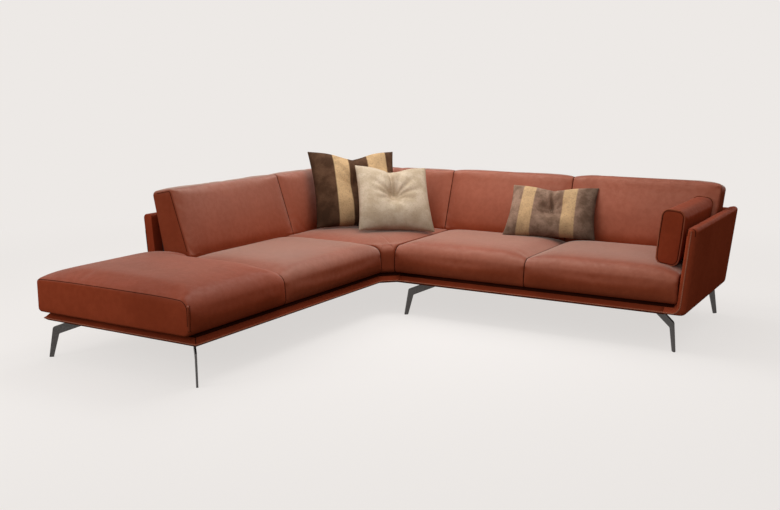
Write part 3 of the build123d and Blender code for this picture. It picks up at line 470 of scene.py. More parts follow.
for subpart in frame["record"]["subparts"]:
    posts = subpart["node"].endswith("_back_posts")
    material = node_materials.get("lining" if posts else subpart["material_slot"])
    if material:
        node = frame["nodes"][subpart["node"]]
        node.data.materials.clear()
        node.data.materials.append(material)

# Seat cushions
seat_seam = 0.428
seat_crown = seat_high[2] - seat_seam + 0.002
seat_roll = 0.036
seat_nose = 0.052
seat_rear_round = 0.020
seat_bulge = 0.008
seat_draw = 0.013
seat_pitch = 0.021
seat_slack = 0.001
seat_swelling = 0.004
seam = 0.007
arm_side_round = 0.014
held_foot = 0.020
held_rear = 0.012
held_inset = 0.2


def seat_outline(front, rear, rear_round):
    """Seat section in (depth, z): rolled bottom, waterfall front and flat back."""
    corners = (
        (front, seat_base, seat_roll),
        (rear, seat_base, min(seat_roll, rear_round)),
        (rear, seat_seam, rear_round),
        (front, seat_seam, seat_nose),
    )
    top_steps = round((rear - front) / seat_pitch)
    return rounded(corners, (10, 6, top_steps, 5))


def seat_swell(depth, z, share, front, rear, ends_power=6, fullness=1.0, seams=1.0):
    """Crown of the top and bow of the front, which die out at the seams."""
    ends = 1 - abs(2 * share - 1) ** ends_power
    across = np.clip((depth - front) / (rear - front), 0, 1)
    height = np.clip((z - seat_base) / (seat_seam - seat_base), 0, 1)
    crown = fullness * seat_crown * height**2 * (1 - abs(2 * across - 1) ** 4.5) * (0.2 + 0.8 * ends)
    near_front = np.clip(1 - 6 * across, 0, 1)
    bow = seat_bulge * np.sin(pi * height) * ends * near_front
    draw = seams * seat_draw * (1 - ends) * height**2
    return depth - bow + draw * near_front, z + crown - draw


def seat(name, place, start, end, rounds, replaced, body):
    """Seat cushion between two seams of a wing."""
    outline = seat_outline(seat_front, seat_rear, seat_rear_round)
    rings, held = [], []
    for along, inset in stations(start, end, *rounds, seat_pitch):
        drawn = outline + inset * inward(outline)
        share = (along - start) / (end - start)
        depth, z = seat_swell(*drawn.T, share, seat_front, seat_rear)
        rings.append(place(depth, np.full(len(z), along), z))
        at_rear = drawn[:, 0] > seat_rear - held_rear
        held.append((z < seat_base + held_foot) | at_rear | (inset > held_inset * max(rounds)))
    soft = held, seat_slack, seat_swelling
    add_padded(name, rings, leather_main, body, replaced, soft)


left_seat_span = seat_low[1], seat_high[1]
seat("seat_left", on_left, *left_seat_span, (seam, seam), ["left_seat_cushion"], "left_section")
inner_low, inner_high = span("right_seat_cushion_inner")
outer_low, outer_high = span("right_seat_cushion_outer")
for label, low, high, rounds in (
    ("inner", inner_low, inner_high, (seam, seam)),
    ("outer", outer_low, outer_high, (seam, arm_side_round)),
):
    replaced = [f"right_seat_cushion_{label}"]
    seat(f"seat_right_{label}", on_right, low[0], high[0], rounds, replaced, "right_section")

# Ottoman: full depth, with a tongue that runs on beside the open end of the back
ottoman_low, ottoman_high = span("ottoman_cushion")
cushion_gap = 0.001
ottoman_start, ottoman_end = ottoman_low[1], left_seat_span[0] - cushion_gap
tongue = ottoman_high[1] - ottoman_end
tongue_lap = 0.014
ottoman_overhang = 0.007
ottoman_rear = -ottoman_low[0] + ottoman_overhang
ottoman_rear_round = 0.024
ottoman_round = 0.015
ottoman_ends_power = 8
ottoman_fullness = 1.95
ottoman_swelling = 0.005
ottoman_outline = seat_outline(seat_front, ottoman_rear, ottoman_rear_round)


def ottoman_swell(drawn, share):
    """Crown of the ottoman, which a seam draws in at its inner end only."""
    sides = (seat_front, ottoman_rear, ottoman_ends_power, ottoman_fullness, share)
    return seat_swell(*drawn.T, share, *sides)


rings, held = [], []
for along, inset in stations(ottoman_start, ottoman_end, ottoman_round, seam, seat_pitch):
    share = (along - ottoman_start) / (ottoman_end - ottoman_start)
    depth, z = ottoman_swell(ottoman_outline + inset * inward(ottoman_outline), share)
    behind = ottoman_outline[:, 0] > back_front - tongue_lap
    rings.append(on_left(depth, along + tongue * behind * share, z))
    held.append((z < seat_base + held_foot) | (inset > held_inset * ottoman_round))
soft = held, seat_slack, ottoman_swelling
add_padded("ottoman", rings, leather_open, "left_section", ["ottoman_cushion"], soft)

# Corner seat: five-sided, with a short chamfered front
corner_low, corner_high = span("corner_seat_cushion")
chamfer_round = 0.045
chamfer_reach = 0.030
corner_foot_round = 0.004
corner_slack = 0.0
corner_swelling = 0.0015
corner_corners = (
    (corner_low[0], corner_low[1], 0.012),
    (-seat_front, corner_low[1], 0.014),
    (corner_high[0], seat_front, 0.014),
    (corner_high[0], corner_high[1], 0.012),
    (corner_low[0], corner_high[1], 0.012),
)
corner_outline = rounded(corner_corners, (34, 5, 34, 36, 36), 4)
corner_middle = np.array(((corner_low[0] + corner_high[0]) / 2, (corner_low[1] + corner_high[1]) / 2))
to_front = (corner_outline[:, 0] - corner_outline[:, 1]) / 2**0.5
front_most = to_front.max()
on_front = np.clip(1 - (front_most - to_front) / chamfer_reach, 0, 1)
roll = seam + (chamfer_round - seam) * on_front
foot_roll = corner_foot_round + (seat_roll - corner_foot_round) * on_front
corner_rings, corner_held = [], []
corner_normals = inward(corner_outline)
quarter = np.radians((0, 25, 50, 75, 90))


def corner_ring(inset, z, held):
    """Ring of the corner seat, drawn in and held as told."""
    drawn = corner_outline + corner_normals * inset[:, None]
    corner_rings.append(np.column_stack((drawn, z)))
    corner_held.append(held)


for turn in quarter:
    corner_ring(foot_roll * (1 - sin(turn)), seat_base + foot_roll * (1 - cos(turn)), on_front > -1)
for share in (0.3, 0.6):
    z = seat_base + foot_roll + share * (seat_seam - roll - seat_base - foot_roll)
    corner_ring(0 * roll, z, on_front < 0.5)
for turn in quarter:
    corner_ring(roll * (1 - cos(turn)), seat_seam - roll * (1 - sin(turn)), on_front < 0.5)
rim = corner_rings[-1]
crown_reach = 0.09
edge_rounds = (seam, chamfer_round, seam, seam, seam)


def corner_crown(drawn):
    """Height of the corner seat's crown, which falls to each of its five edges."""
    share = np.ones(len(drawn))
    for index, edge_round in enumerate(edge_rounds):
        first = np.array(corner_corners[index][:2])
        along = np.array(corner_corners[(index + 1) % len(edge_rounds)][:2]) - first
        aside = np.array((-along[1], along[0])) / np.linalg.norm(along)
        share *= np.tanh(np.clip((drawn - first) @ aside - edge_round, 0, None) / crown_reach)
    return seat_crown * share


for share in (0.05, 0.1, 0.17, 0.25, 0.34, 0.44, 0.55, 0.66, 0.78, 0.9, 0.97):
    drawn = rim[:, :2] * (1 - share) + corner_middle * share
    z = rim[:, 2] + corner_crown(drawn)
    corner_rings.append(np.column_stack((drawn, z)))
    corner_held.append(np.full(len(z), False))
soft = corner_held, corner_slack, corner_swelling
add_padded("seat_corner", corner_rings, leather_main, "left_section", ["corner_seat_cushion"], soft)

# Back cushions
back_base = back_low[2]
back_foot = 0.940
back_crease = 0.441
back_top = 0.816
back_rear_drop = 0.030
back_front_slope = tan(radians(18.7))
back_rear_slope = tan(radians(12.1))
back_rear_crease = back_rear_top - back_rear_slope * (back_top - back_rear_drop - back_crease)
back_corners = (
    (back_front, back_base, 0.010),
    (back_foot, back_base, 0.010),
    (back_rear_crease, back_crease, 0.010),
    (back_rear_top, back_top - back_rear_drop, 0.026),
    (back_front + back_front_slope * (back_top - back_crease), back_top, 0.026),
    (back_front, back_crease, 0.030),
)
back_outline = rounded(back_corners, (6, 6, 14, 7, 18, 6), 5)
back_bow = 0.013
back_bow_reach = 0.060
back_dome = 0.006
back_pitch = 0.022
back_slack = 0.005
back_swelling = 0.008
held_back_rear = 0.020


def back_rear(z):
    """Depth of a back cushion's leaning rear at a height."""
    return back_rear_crease + back_rear_slope * (z - back_crease)


def back_swell(depth, z, ends, dome=back_dome):
    """Bow of the leaning front and a low dome on the top."""
    rise = np.clip((z - back_crease) / (back_top - back_crease), 0, 1)
    face = back_front + back_front_slope * np.maximum(0, z - back_crease)
    near = np.clip(1 - (depth - face) / back_bow_reach, 0, 1)
    bow = back_bow * np.sin(pi * np.clip(rise * 1.05, 0, 1)) * near * ends
    lift = dome * np.clip((rise - 0.85) / 0.15, 0, 1) * ends
    return depth - bow, z + lift


def back(name, place, start, end, rounds, replaced, body, dome=back_dome, lean=0.0):
    """Back cushion between two seams of a wing."""
    rings, held = [], []
    for along, inset in stations(start, end, *rounds, back_pitch):
        drawn = back_outline + inset * inward(back_outline)
        share = (along - start) / (end - start)
        depth, z = back_swell(*drawn.T, 1 - abs(2 * share - 1) ** 6, dome)
        tilt = lean * share**3 * (z - back_base)
        rings.append(place(depth, along + tilt, z))
        rear = drawn[:, 0] > back_rear(drawn[:, 1]) - held_back_rear
        held.append((z < back_crease) | rear | (inset > held_inset * max(rounds)))
    soft = held, back_slack, back_swelling
    add_padded(name, rings, leather_main, body, replaced, soft)


open_end = 0.014
arm_end = 0.018
inner_dome = 0.018
outer_dome = 0.025
back_span = back_low[1], back_high[1]
back("back_left", on_left, *back_span, (open_end, seam), ["left_back_cushion"], "left_section")
inner_back_low, inner_back_high = span("right_back_cushion_inner")
back(
    "back_right_inner", on_right, inner_back_low[0], inner_back_high[0], (seam, seam),
    ["right_back_cushion_inner"], "right_section", inner_dome,
)
outer_back_low, outer_back_high = span("right_back_cushion_outer")
back_end_lean = tan(radians(3.3))
back_end = outer_back_high[0] + 0.010 - back_end_lean * (outer_back_high[2] - back_base)
back(
    "back_right_outer", on_right, outer_back_low[0], back_end, (seam, arm_end),
    ["right_back_cushion_outer"], "right_section", outer_dome, back_end_lean,
)


def frames_between(frames, counts):
    """Places and inward vectors along a mitred path, with the steps of each run."""
    run = []
    for (first, last), count in zip(zip(frames, frames[1:]), counts):
        for step in range(count):
            run.append(np.array(first) * (1 - step / count) + np.array(last) * (step / count))
    return run + [np.array(frames[-1])]


def at_frame(frame, depth, z):
    """Places at depths and heights in a frame given as (u, v, inward u, inward v)."""
    u, v, inward_u, inward_v = frame
    return np.stack((u + inward_u * depth, v + inward_v * depth, z), 1)


def sweep(frames, counts, outline):
    """Rings of an outline in (depth, z) along mitred frames."""
    return [at_frame(frame, *outline.T) for frame in frames_between(frames, counts)]


def rounded_start(rings, radius):
    """Put a quarter round at the first end of a run of rings, inside its length."""
    middle = rings[0].mean(0)
    aside = rings[0] - middle
    reach = np.linalg.norm(aside, axis=1, keepdims=True)
    ahead = unit(rings[1] - rings[0])
    start = [
        middle + aside * (1 - radius * (1 - cos(turn)) / reach) + ahead * radius * (1 - sin(turn))
        for turn in np.radians((90, 60, 30))
    ]
    return start + [rings[0] + ahead * radius] + rings[1:]


def rounded_ends(rings, radius):
    """Put quarter rounds at both ends of a run of rings, inside its length."""
    return rounded_start(rounded_start(rings, radius)[::-1], radius)[::-1]


# Corner back: one cushion that turns the corner
corner_back_start = span("corner_back_cushion_left")[0][1]
corner_back_end = span("corner_back_cushion_right")[1][0]
corner_frames = (
    (0, corner_back_start, -1, 0),
    (0, 0, -1, 1),
    (corner_back_end, 0, 0, 1),
)
rings, held = [], []
corner_runs = frames_between(corner_frames, (34, 34))
last_run = len(corner_runs) - 1
for index, run in enumerate(corner_runs):
    ends = 1 - abs(2 * index / last_run - 1) ** 10
    depth, z = back_swell(*back_outline.T, ends)
    rings.append(at_frame(run, depth, z))
    rear = back_outline[:, 0] > back_rear(back_outline[:, 1]) - held_back_rear
    held.append((z < back_crease) | rear | (index in (0, last_run)))
rings = rounded_ends(rings, seam)
end_held = [np.full(len(back_outline), True)] * 3
soft = end_held + held + end_held, back_slack, back_swelling
corner_backs = ["corner_back_cushion_left", "corner_back_cushion_right"]
add_padded("back_corner", rings, leather_main, "left_section", corner_backs, soft)

# Folded shells behind the backs: flange, folded foot, leaning outside, round top and inside
shell_thickness = 0.058
shell_round = 0.020
shell_fold = 0.030
shell_end_round = 0.006
shell_foot = tray_depth + shell_slope * (tray_top - tray_bottom) - shell_thickness
shell_corners = (
    (tray_depth - shell_flange, tray_bottom, 0.001),
    (tray_depth, tray_bottom, shell_fold),
    (shell_reach, shell_top, shell_round),
    (shell_reach - shell_thickness, shell_top, shell_round),
    (shell_foot, tray_top, 0.004),
    (tray_depth - shell_flange, tray_top, 0.001),
)
shell_profile = rounded(shell_corners, (4, 22, 2, 20, 2, 2), 6)
left_shell_frames = (
    (0, shell_low[1], -1, 0),
    (0, 0, -1, 1),
    (joint, 0, 0, 1),
)
rings = rounded_ends(sweep(left_shell_frames, (40, 24), shell_profile), shell_end_round)
left_shells = ["left_back_shell", "corner_back_shell"]
add_padded("shell_left", rings, leather_side, "left_section", left_shells)
right_joint = span("right_back_shell")[0][0]
right_length = 1.800
right_shell_frames = (
    (right_joint, 0, 0, 1),
    (right_length - tray_depth, 0, 1, 1),
)
rings = sweep(right_shell_frames, (40,), shell_profile)
add_padded("shell_right", rings, leather_side, "right_section", ["right_back_shell"])

# Tray lip: sloped top, stitched tip and round underside
lip_tip = tray_bottom + 0.014
lip_depth = 0.038
lip_inner = 0.062
lip_corners = (
    (0.0, lip_tip, 0.007),
    (0.016, tray_bottom, 0.016),
    (lip_inner, tray_bottom, 0.002),
    (lip_inner, tray_top, 0.002),
    (lip_depth, tray_top, 0.014),
)
lip_outline = rounded(lip_corners, (2, 4, 3, 2, 5), 4)
cut = 0.070
mitre = tan(radians(22.5))
left_lip_frames = (
    (-tray_depth, shell_low[1] - 0.001, 1, 0),
    (-tray_depth, left_end, 1, 1),
    (0, left_end, -1, 1),
    (0, -cut, -1, mitre),
    (cut, 0, -mitre, 1),
    (joint, 0, 0, 1),
)
rings = sweep(left_lip_frames, (20, 26, 40, 4, 1), lip_outline)
left_borders = ["left_front_border", "left_end_border", "left_rear_border"]
add_padded("tray_lip_left", rings, leather_tray_shaded, "left_section", left_borders, subdivide=False)
arm_nose = span("arm_shell")[0][0]
right_lip_frames = ((right_joint, 0, 0, 1), (arm_nose - 0.001, 0, 0, 1))
rings = sweep(right_lip_frames, (40,), lip_outline)
right_borders = ["right_front_border"]
add_padded("tray_lip_right", rings, leather_tray_shaded, "right_section", right_borders, subdivide=False)

# Painted shade in the gap between the tray and the seats: a near-black filler from the lip's slope to the
# roll under the seats
gap_shade_corners = (
    (0.0225, tray_top - 0.0150, 0.001),
    (0.0450, tray_top - 0.0050, 0.001),
    (0.0450, tray_top + 0.0030, 0.001),
    (0.0160, tray_top + 0.0092, 0.001),
    (0.0290, tray_top - 0.0025, 0.001),
)
gap_shade_outline = rounded(gap_shade_corners, (2, 2, 2, 2, 2), 2)
gap_shade_past_nose = 0.052
right_gap_shade_frames = (right_lip_frames[0], (arm_nose + gap_shade_past_nose, 0, 0, 1))
for side, frames in (("left", left_lip_frames), ("right", right_gap_shade_frames)):
    gap_shade = skin(sweep(frames, (1,) * (len(frames) - 1), gap_shade_outline))
    add_piece(f"tray_gap_shade_{side}", *gap_shade, leather_seam_shade, f"{side}_section")

# Arm: its front edge is the tray's lip, turned up through a curve
arm_thickness = 0.055
arm_seam_inset = 0.029
arm_seam_width = 0.004
arm_top = shell_top + 0.010
arm_top_drop = 0.010
arm_edge = 0.020
arm_fold = 0.024
arm_fold_growth = 0.026
arm_inner_fold = 0.016
arm_inner_fold_growth = 0.034
nose_depth = 0.044


def arm_outline(nose, slope):
    """Arm section in (u, z).

    Nose runs from 1 at the stitched front edge to 0 where the arm has its thickness.
    Slope runs from 1 at the lip's tip to 0 where the lip is level with the tray.
    """
    bottom = tray_bottom + (lip_tip - tray_bottom) * nose
    step = tray_top - (tray_top - lip_tip - arm_seam_width) * slope
    top = arm_top - arm_top_drop * nose
    outside = right_length - arm_seam_inset * nose
    thickness = arm_thickness - (arm_thickness - arm_seam_width) * nose
    edge = min(arm_edge, 0.45 * thickness)

    def outer(z):
        return outside + shell_slope * (z - tray_bottom)

    corners = (
        (arm_nose, bottom, 0.001),
        (outer(bottom), bottom, arm_fold + arm_fold_growth * nose),
        (outer(top), top, edge),
        (outer(top) - thickness, top, edge),
        (outer(step) - thickness, step, arm_inner_fold + arm_inner_fold_growth * nose),
        (arm_nose, step, 0.001),
    )
    return rounded(corners, (6, 22, 2, 20, 5, 2), 6)


arm_rings = []
for depth_share in (0.0, 0.06, 0.16, 0.3, 0.5, 0.72, 1.0):
    nose = 1 - (1 - (1 - depth_share) ** 2) ** 0.5
    depth = depth_share * nose_depth
    outline = arm_outline(nose, max(0.0, 1 - depth / lip_depth))
    arm_rings.append(np.stack((outline[:, 0], np.full(len(outline), depth), outline[:, 1]), 1))
full_outline = arm_outline(0.0, 0.0)
arm_mitre = full_outline[:, 0] - right_length + tray_depth
for share in np.linspace(0, 1, 40)[1:]:
    depth = nose_depth + share * (arm_mitre - nose_depth)
    arm_rings.append(np.stack((full_outline[:, 0], depth, full_outline[:, 1]), 1))
add_padded("arm", arm_rings, leather_side, "right_section", ["arm_shell"], flip=True)

# Stitched welts along the lip's tip and up the arm's front, in the lighter leather, a painted highlight
welt_radius = 0.0038
welt_pitch = 0.008
stitch_pitch = 0.009
stitch_half = 0.0048
stitch_radius = 0.0015


def welt(name, path, body, material=leather_lip_highlight, radius=welt_radius):
    """Thin sewn edge along a path."""
    add_piece(name, *skin(tube(resample(path, welt_pitch), radius)), material, body)


def stitches(name, path, body):
    """Row of short slanted stitches along a path."""
    path = resample(path, stitch_pitch)
    meshes = []
    for place, after in zip(path, path[1:]):
        ahead = unit(after - place)
        side = unit(np.cross(ahead, tube_reference))
        slant = stitch_half * (0.35 * ahead + 0.94 * side)
        meshes.append(skin(tube([place - slant, place, place + slant], stitch_radius, 5)))
    add_piece(name, *join_meshes(meshes), thread, body)


welt_depth, welt_z = 0.0015, lip_tip + 0.001
left_welt_path = [
    (u + inward_u * welt_depth, v + inward_v * welt_depth, welt_z)
    for u, v, inward_u, inward_v in left_lip_frames
]
to_arm_top = 43
arm_front = arm_outline(1.0, 1.0)[:to_arm_top]
right_welt_path = [(right_joint, welt_depth, welt_z), (arm_nose, welt_depth, welt_z)]
right_welt_path += [(u, 0.0, z) for u, z in arm_front if u > arm_nose + 0.002]
for side, path in (("left", left_welt_path), ("right", right_welt_path)):
    welt(f"lip_welt_{side}", path, f"{side}_section")
    stitches(f"lip_stitches_{side}", path, f"{side}_section")

# Painted shade in the seams between neighbouring cushions: thin near-black plates in the grooves
seam_depth = 0.002
seam_half = 0.0018
end_outline = seat_outline(seat_front, seat_rear, seat_rear_round)
seat_end = (end_outline + seam_depth * inward(end_outline)).T
seat_end = seat_swell(*seat_end, 0.0, seat_front, seat_rear)
back_side = back_swell(*(back_outline + seam_depth * inward(back_outline)).T, 0.0)
for name, place, along, (depth, z), body in (
    ("seam_seat_ottoman", on_left, left_seat_span[0], seat_end, "left_section"),
    ("seam_seat_corner_left", on_left, left_seat_span[1], seat_end, "left_section"),
    ("seam_seat_corner_right", on_right, corner_high[0], seat_end, "left_section"),
    ("seam_seat_right", on_right, outer_low[0], seat_end, "right_section"),
    ("seam_back_left", on_left, back_high[1], back_side, "left_section"),
    ("seam_back_corner", on_right, corner_back_end, back_side, "left_section"),
    ("seam_back_right", on_right, outer_back_low[0], back_side, "right_section"),
):
    rings = [place(depth, np.full(len(z), along + shift), z) for shift in (-seam_half, seam_half)]
    add_piece(name, *skin(rings), leather_seam_shade, body)

# Sewn lines on the open ends: ottoman, left back, left shell, arm top and the tray's corner; the near-black
# lines are painted shade of their sewn grooves
line_radius = 0.0014
end_inset = 0.008
back_line_inset = 0.016
corner_clear = 0.030


def end_line(name, depth, along, z, radius=line_radius, material=leather_seam_shade):
    """Sewn line on an end face of the left wing."""
    welt(name, on_left(depth, np.full(len(z), along), z), "left_section", material, radius)


end_drawn = ottoman_outline + end_inset * inward(ottoman_outline)
end_depth, end_z = ottoman_swell(end_drawn, 0.0)
on_line = end_drawn[:, 0] < seat_front + seat_nose + 0.01
on_line &= end_drawn[:, 1] > seat_base + corner_clear
on_line[: len(end_drawn) // 2] = False
on_line |= end_drawn[:, 1] > seat_seam - end_inset - 0.0005
end_line("ottoman_end_line", end_depth[on_line], ottoman_start + 0.0012, end_z[on_line])
corner_z = np.linspace(seat_base + corner_clear, seat_seam - 0.026, 8)
for name, depth, along, *look in (
    ("ottoman_corner_welt", 0.0048, 0.0048, 0.0042, leather_main),
    ("ottoman_corner_line_front", -0.0002, 0.0125),
):
    end_line(name, np.full(8, seat_front + depth), ottoman_start + along, corner_z, *look)
back_drawn = back_outline + back_line_inset * inward(back_outline)
on_edge = back_drawn[:, 0] < back_rear(back_drawn[:, 1]) - 0.03
depth, z = back_drawn[on_edge & (back_drawn[:, 1] > back_crease)].T
end_line("left_back_line", depth, back_low[1] - 0.0004, z)
outside = (shell_profile[:, 0] > tray_depth - 0.002) & (shell_profile[:, 1] > tray_bottom + 0.02)
depth, z = shell_profile[outside][: outside.sum() // 2 + 4].T
end_line("left_shell_line", depth - 0.003, shell_low[1] + 0.001, z, 0.0026)
arm_loop = arm_rings[3][arm_rings[3][:, 2] > arm_top - 0.045]
welt("arm_top_line", arm_loop, "right_section", leather_seam_shade, 0.002)
tray_corner = (
    (-0.002, left_end + 0.002, lip_tip + 0.004),
    (-lip_depth, left_end + lip_depth, tray_top + 0.0005),
)
welt("tray_corner_line", tray_corner, "left_section", leather_seam_shade, line_radius)

# Arm bolster: a piped box cushion beside the arm
bolster_low = span("arm_bolster")[0]
bolster_lean = radians(5.2)
bolster_side = np.array((cos(bolster_lean), 0, -sin(bolster_lean)))
bolster_up = np.array((sin(bolster_lean), 0, cos(bolster_lean)))
bolster_width = 0.118
bolster_height = 0.296
bolster_foot = np.array((bolster_low[0] + 0.004, 0, bolster_low[2] + bolster_width * sin(bolster_lean)))
bolster_edge = 0.036
bolster_corners = (
    (0, 0, bolster_edge),
    (bolster_width, 0, bolster_edge),
    (bolster_width, bolster_height, bolster_edge),
    (0, bolster_height, bolster_edge),
)
bolster_outline = rounded(bolster_corners, (5, 14, 5, 14), 6)
bolster_front = bolster_low[1]
bolster_back = back_front - 0.012
bolster_belly = 0.007
bolster_round = 0.010
bolster_pitch = 0.020
bolster_slack = 0.004
bolster_swelling = 0.005
piping_inset = 0.006


def bolster_ring(share, inset):
    """Section of the bolster at a share of its length; its rear end leans with the back."""
    drawn = bolster_outline + inset * inward(bolster_outline)
    height = np.clip(drawn[:, 1] / bolster_height, 0, 1)
    belly = 1 - abs(2 * share - 1) ** 4
    across = (drawn[:, 0] / bolster_width - 0.5) * 2
    side = drawn[:, 0] + across * bolster_belly * np.sin(pi * height) * (0.4 + 0.6 * belly)
    rise = drawn[:, 1] + bolster_belly * height**3 * (1 - across**2) * belly
    depth = bolster_front + share * (bolster_back + back_front_slope * rise - bolster_front)
    points = bolster_foot + side[:, None] * bolster_side + rise[:, None] * bolster_up
    points[:, 1] = depth
    return points


bolster_length = bolster_back - bolster_front
rings, held = [], []
for along, inset in stations(0.0, bolster_length, bolster_round, bolster_round, bolster_pitch):
    rings.append(bolster_ring(along / bolster_length, inset))
    held.append((bolster_outline[:, 1] < 0.01) | (inset > held_inset * bolster_round))
soft = held, bolster_slack, bolster_swelling
add_padded("bolster", rings, leather_side, "arm_bolster", ["arm_bolster"], soft, flip=True)
end_share = piping_inset / bolster_length
# Piping in the lighter leather, a painted highlight, with near-black lines beside it, painted shade of the
# seams
for label, share, inside in (("front", end_share, 1), ("rear", 1 - end_share, -1)):
    piping = skin(tube(bolster_ring(share, 0.0005), 0.0042, 8, True), caps=False)
    add_piece(f"bolster_piping_{label}", *piping, leather_lip_highlight, "arm_bolster")
    for side, shift, inset in (("face", -0.005, 0.0062), ("side", 0.0065, -0.0002)):
        line_ring = bolster_ring(share + inside * shift / bolster_length, inset)
        line = skin(tube(line_ring, line_radius, 6, True), caps=False)
        add_piece(f"bolster_line_{label}_{side}", *line, leather_seam_shade, "arm_bolster")

# Scatter cushions: two panels sewn at the edge, filled by pressure and held by a tuft
panel_slack = 1.10
panel_half = 0.002
pillow_pitch = 0.009
pillow_swelling = 0.030
pillow_draw = 0.055


def creased(x, y, creases, reach):
    """Depth of folds that run out from the tuft, each (degrees, depth, length as a share of reach)."""
    depth = np.zeros_like(x)
    for degrees, fold, share in creases:
        turn = radians(degrees)
        along = (x * cos(turn) + y * sin(turn)) / (share * reach)
        aside = -x * sin(turn) + y * cos(turn)
        width = 0.006 + 0.014 * np.clip(along, 0, 1)
        fade = np.clip(along * 8, 0, 1) * np.clip(1.15 - along, 0, 1)
        depth += fold * fade * np.exp(-((aside / width) ** 2))
    return depth


def pillow(name, material, slot, size, place, turns, tuft, chop, creases, flare):
    """Scatter cushion that stands on the middle of its lower edge, which is wider by the flare."""
    width, height, thickness = size
    across_count, up_count = round(width / pillow_pitch), round(height / pillow_pitch)
    across, up = np.meshgrid(np.linspace(-1, 1, across_count + 1), np.linspace(-1, 1, up_count + 1))
    x = across * (1 - pillow_draw * (1 - up**2) * abs(across) ** 3) * width / 2
    y = up * (1 - pillow_draw * (1 - across**2) * abs(up) ** 3) * height / 2
    notch = np.exp(-((x / (0.2 * width)) ** 2)) * np.clip((up + 0.1) / 1.1, 0, 1) ** 2
    x = x * (1 + flare * (1 - up) / 2)
    y = y - chop * notch
    puff = thickness / 2 * np.clip((1 - across**2) * (1 - up**2), 0, 1) ** 0.5
    near_tuft = np.exp(-(x**2 + y**2) / (0.13 * width) ** 2)
    inside = np.clip(4 * puff / thickness, 0, 1)
    front = puff * (1 - tuft * near_tuft)
    back_face = -puff * (1 - 0.5 * tuft * near_tuft)
    grid = np.arange(up.size).reshape(up.shape)
    edge = (abs(across) > 0.999) | (abs(up) > 0.999)
    used, numbers = np.unique((grid, np.where(edge, grid, grid + up.size)), return_inverse=True)
    before, behind = numbers.reshape(2, *up.shape)
    sheets = [np.column_stack((x.ravel(), y.ravel(), face.ravel())) for face in (front, back_face)]
    local = np.concatenate(sheets)[used]
    faces = []
    for row in range(up_count):
        for column in range(across_count):
            quad = ((row, column), (row, column + 1), (row + 1, column + 1), (row + 1, column))
            faces.append(tuple(int(before[cell]) for cell in quad))
            faces.append(tuple(int(behind[cell]) for cell in reversed(quad)))
    shares = np.tile(np.column_stack((across.ravel(), up.ravel())), (2, 1))[used] / 2 + 0.5

    turned, leaned, rolled = (radians(turn) for turn in turns)
    outward = np.array((sin(turned), -cos(turned), 0))
    side = np.array((cos(turned), sin(turned), 0))
    rise = np.array((0, 0, cos(leaned))) - outward * sin(leaned)
    normal = np.array((0, 0, sin(leaned))) + outward * cos(leaned)
    across_axis = side * cos(rolled) + rise * sin(rolled)
    axes = np.array((across_axis, rise * cos(rolled) - side * sin(rolled), normal))
    middle = np.array(place) + rise * (height / 2)
    body = f"pillow_{name}"
    points = middle + local @ axes
    piece = add_piece(f"cushion_{name}", points, faces, material, body, slot, [body], True)
    panel = piece.data.uv_layers.new(name="panel")
    for loop in piece.data.loops:
        panel.data[loop.index].uv = shares[loop.vertex_index]

    flat = (2 * shares - 1) * panel_slack * np.array((width, height)) / 2
    flat = np.column_stack((flat, panel_half * np.sign(local[:, 2])))
    at_corner = (abs(2 * shares - 1) > 0.95).all(1)
    at_tuft = np.hypot(local[:, 0], local[:, 1]) < 0.016
    at_chop = (abs(local[:, 0]) < 0.010) & (shares[:, 1] > 0.999)
    front_folds = (inside * creased(x, y, creases, width / 2)).ravel()
    fold_depth = np.concatenate((front_folds, np.zeros(up.size)))[used]
    folds = -fold_depth[:, None] * axes[2]
    held = at_corner | at_tuft | at_chop
    soft_pieces.append(SoftPiece(piece, held, 0.0, pillow_swelling, middle + flat @ axes, folds))
    return middle + axes[2] * (1 - tuft) * thickness / 2, axes

large_creases = (
    (90, 0.030, 1.0), (55, 0.012, 0.7), (125, 0.012, 0.7), (20, 0.010, 0.5), (160, 0.010, 0.5),
)
pillow(
    "large", large_velvet, "striped_velvet", (0.600, 0.580, 0.165), (-0.391, 0.317, 0.4560),
    (45.0, 34.0, -1.2), 0.6, 0.055, large_creases, -0.04,
)
beige_creases = (
    (97, 0.048, 1.0), (74, 0.016, 0.75), (118, 0.022, 0.85), (143, 0.018, 0.8), (44, 0.020, 0.8),
    (16, 0.018, 0.8), (166, 0.016, 0.65), (-14, 0.014, 0.6), (198, 0.014, 0.55), (-48, 0.010, 0.5),
    (232, 0.010, 0.5),
)
pillow(
    "beige", beige_velvet, "beige_velvet", (0.490, 0.490, 0.145), (-0.090, 0.314, 0.4560),
    (46.0, 36.0, -4.0), 0.85, 0.040, beige_creases, 0.045,
)
lumbar_creases = (
    (92, 0.050, 0.7), (62, 0.015, 0.5), (120, 0.015, 0.5), (25, 0.013, 0.4), (155, 0.013, 0.4),
    (-25, 0.016, 0.35), (205, 0.016, 0.35), (-60, 0.010, 0.3), (240, 0.010, 0.3),
)
lumbar_tuft, lumbar_axes = pillow(
    "lumbar", lumbar_velvet, "striped_velvet", (0.550, 0.365, 0.130), (0.817, 0.570, 0.4514),
    (9.0, 33.5, 0.0), 0.85, 0.026, lumbar_creases, 0.07,
)
knot_turns = np.linspace(0, 2 * pi, 24, endpoint=False)
knot_circle = 0.008 * np.column_stack((np.cos(knot_turns), np.sin(knot_turns)))
knot_ring = lumbar_tuft + knot_circle @ lumbar_axes[:2] + 0.002 * lumbar_axes[2]
knot = skin(tube(knot_ring, 0.0028, 8, True), caps=False)
add_piece("lumbar_knot", *knot, lumbar_velvet, "pillow_lumbar", "striped_velvet")

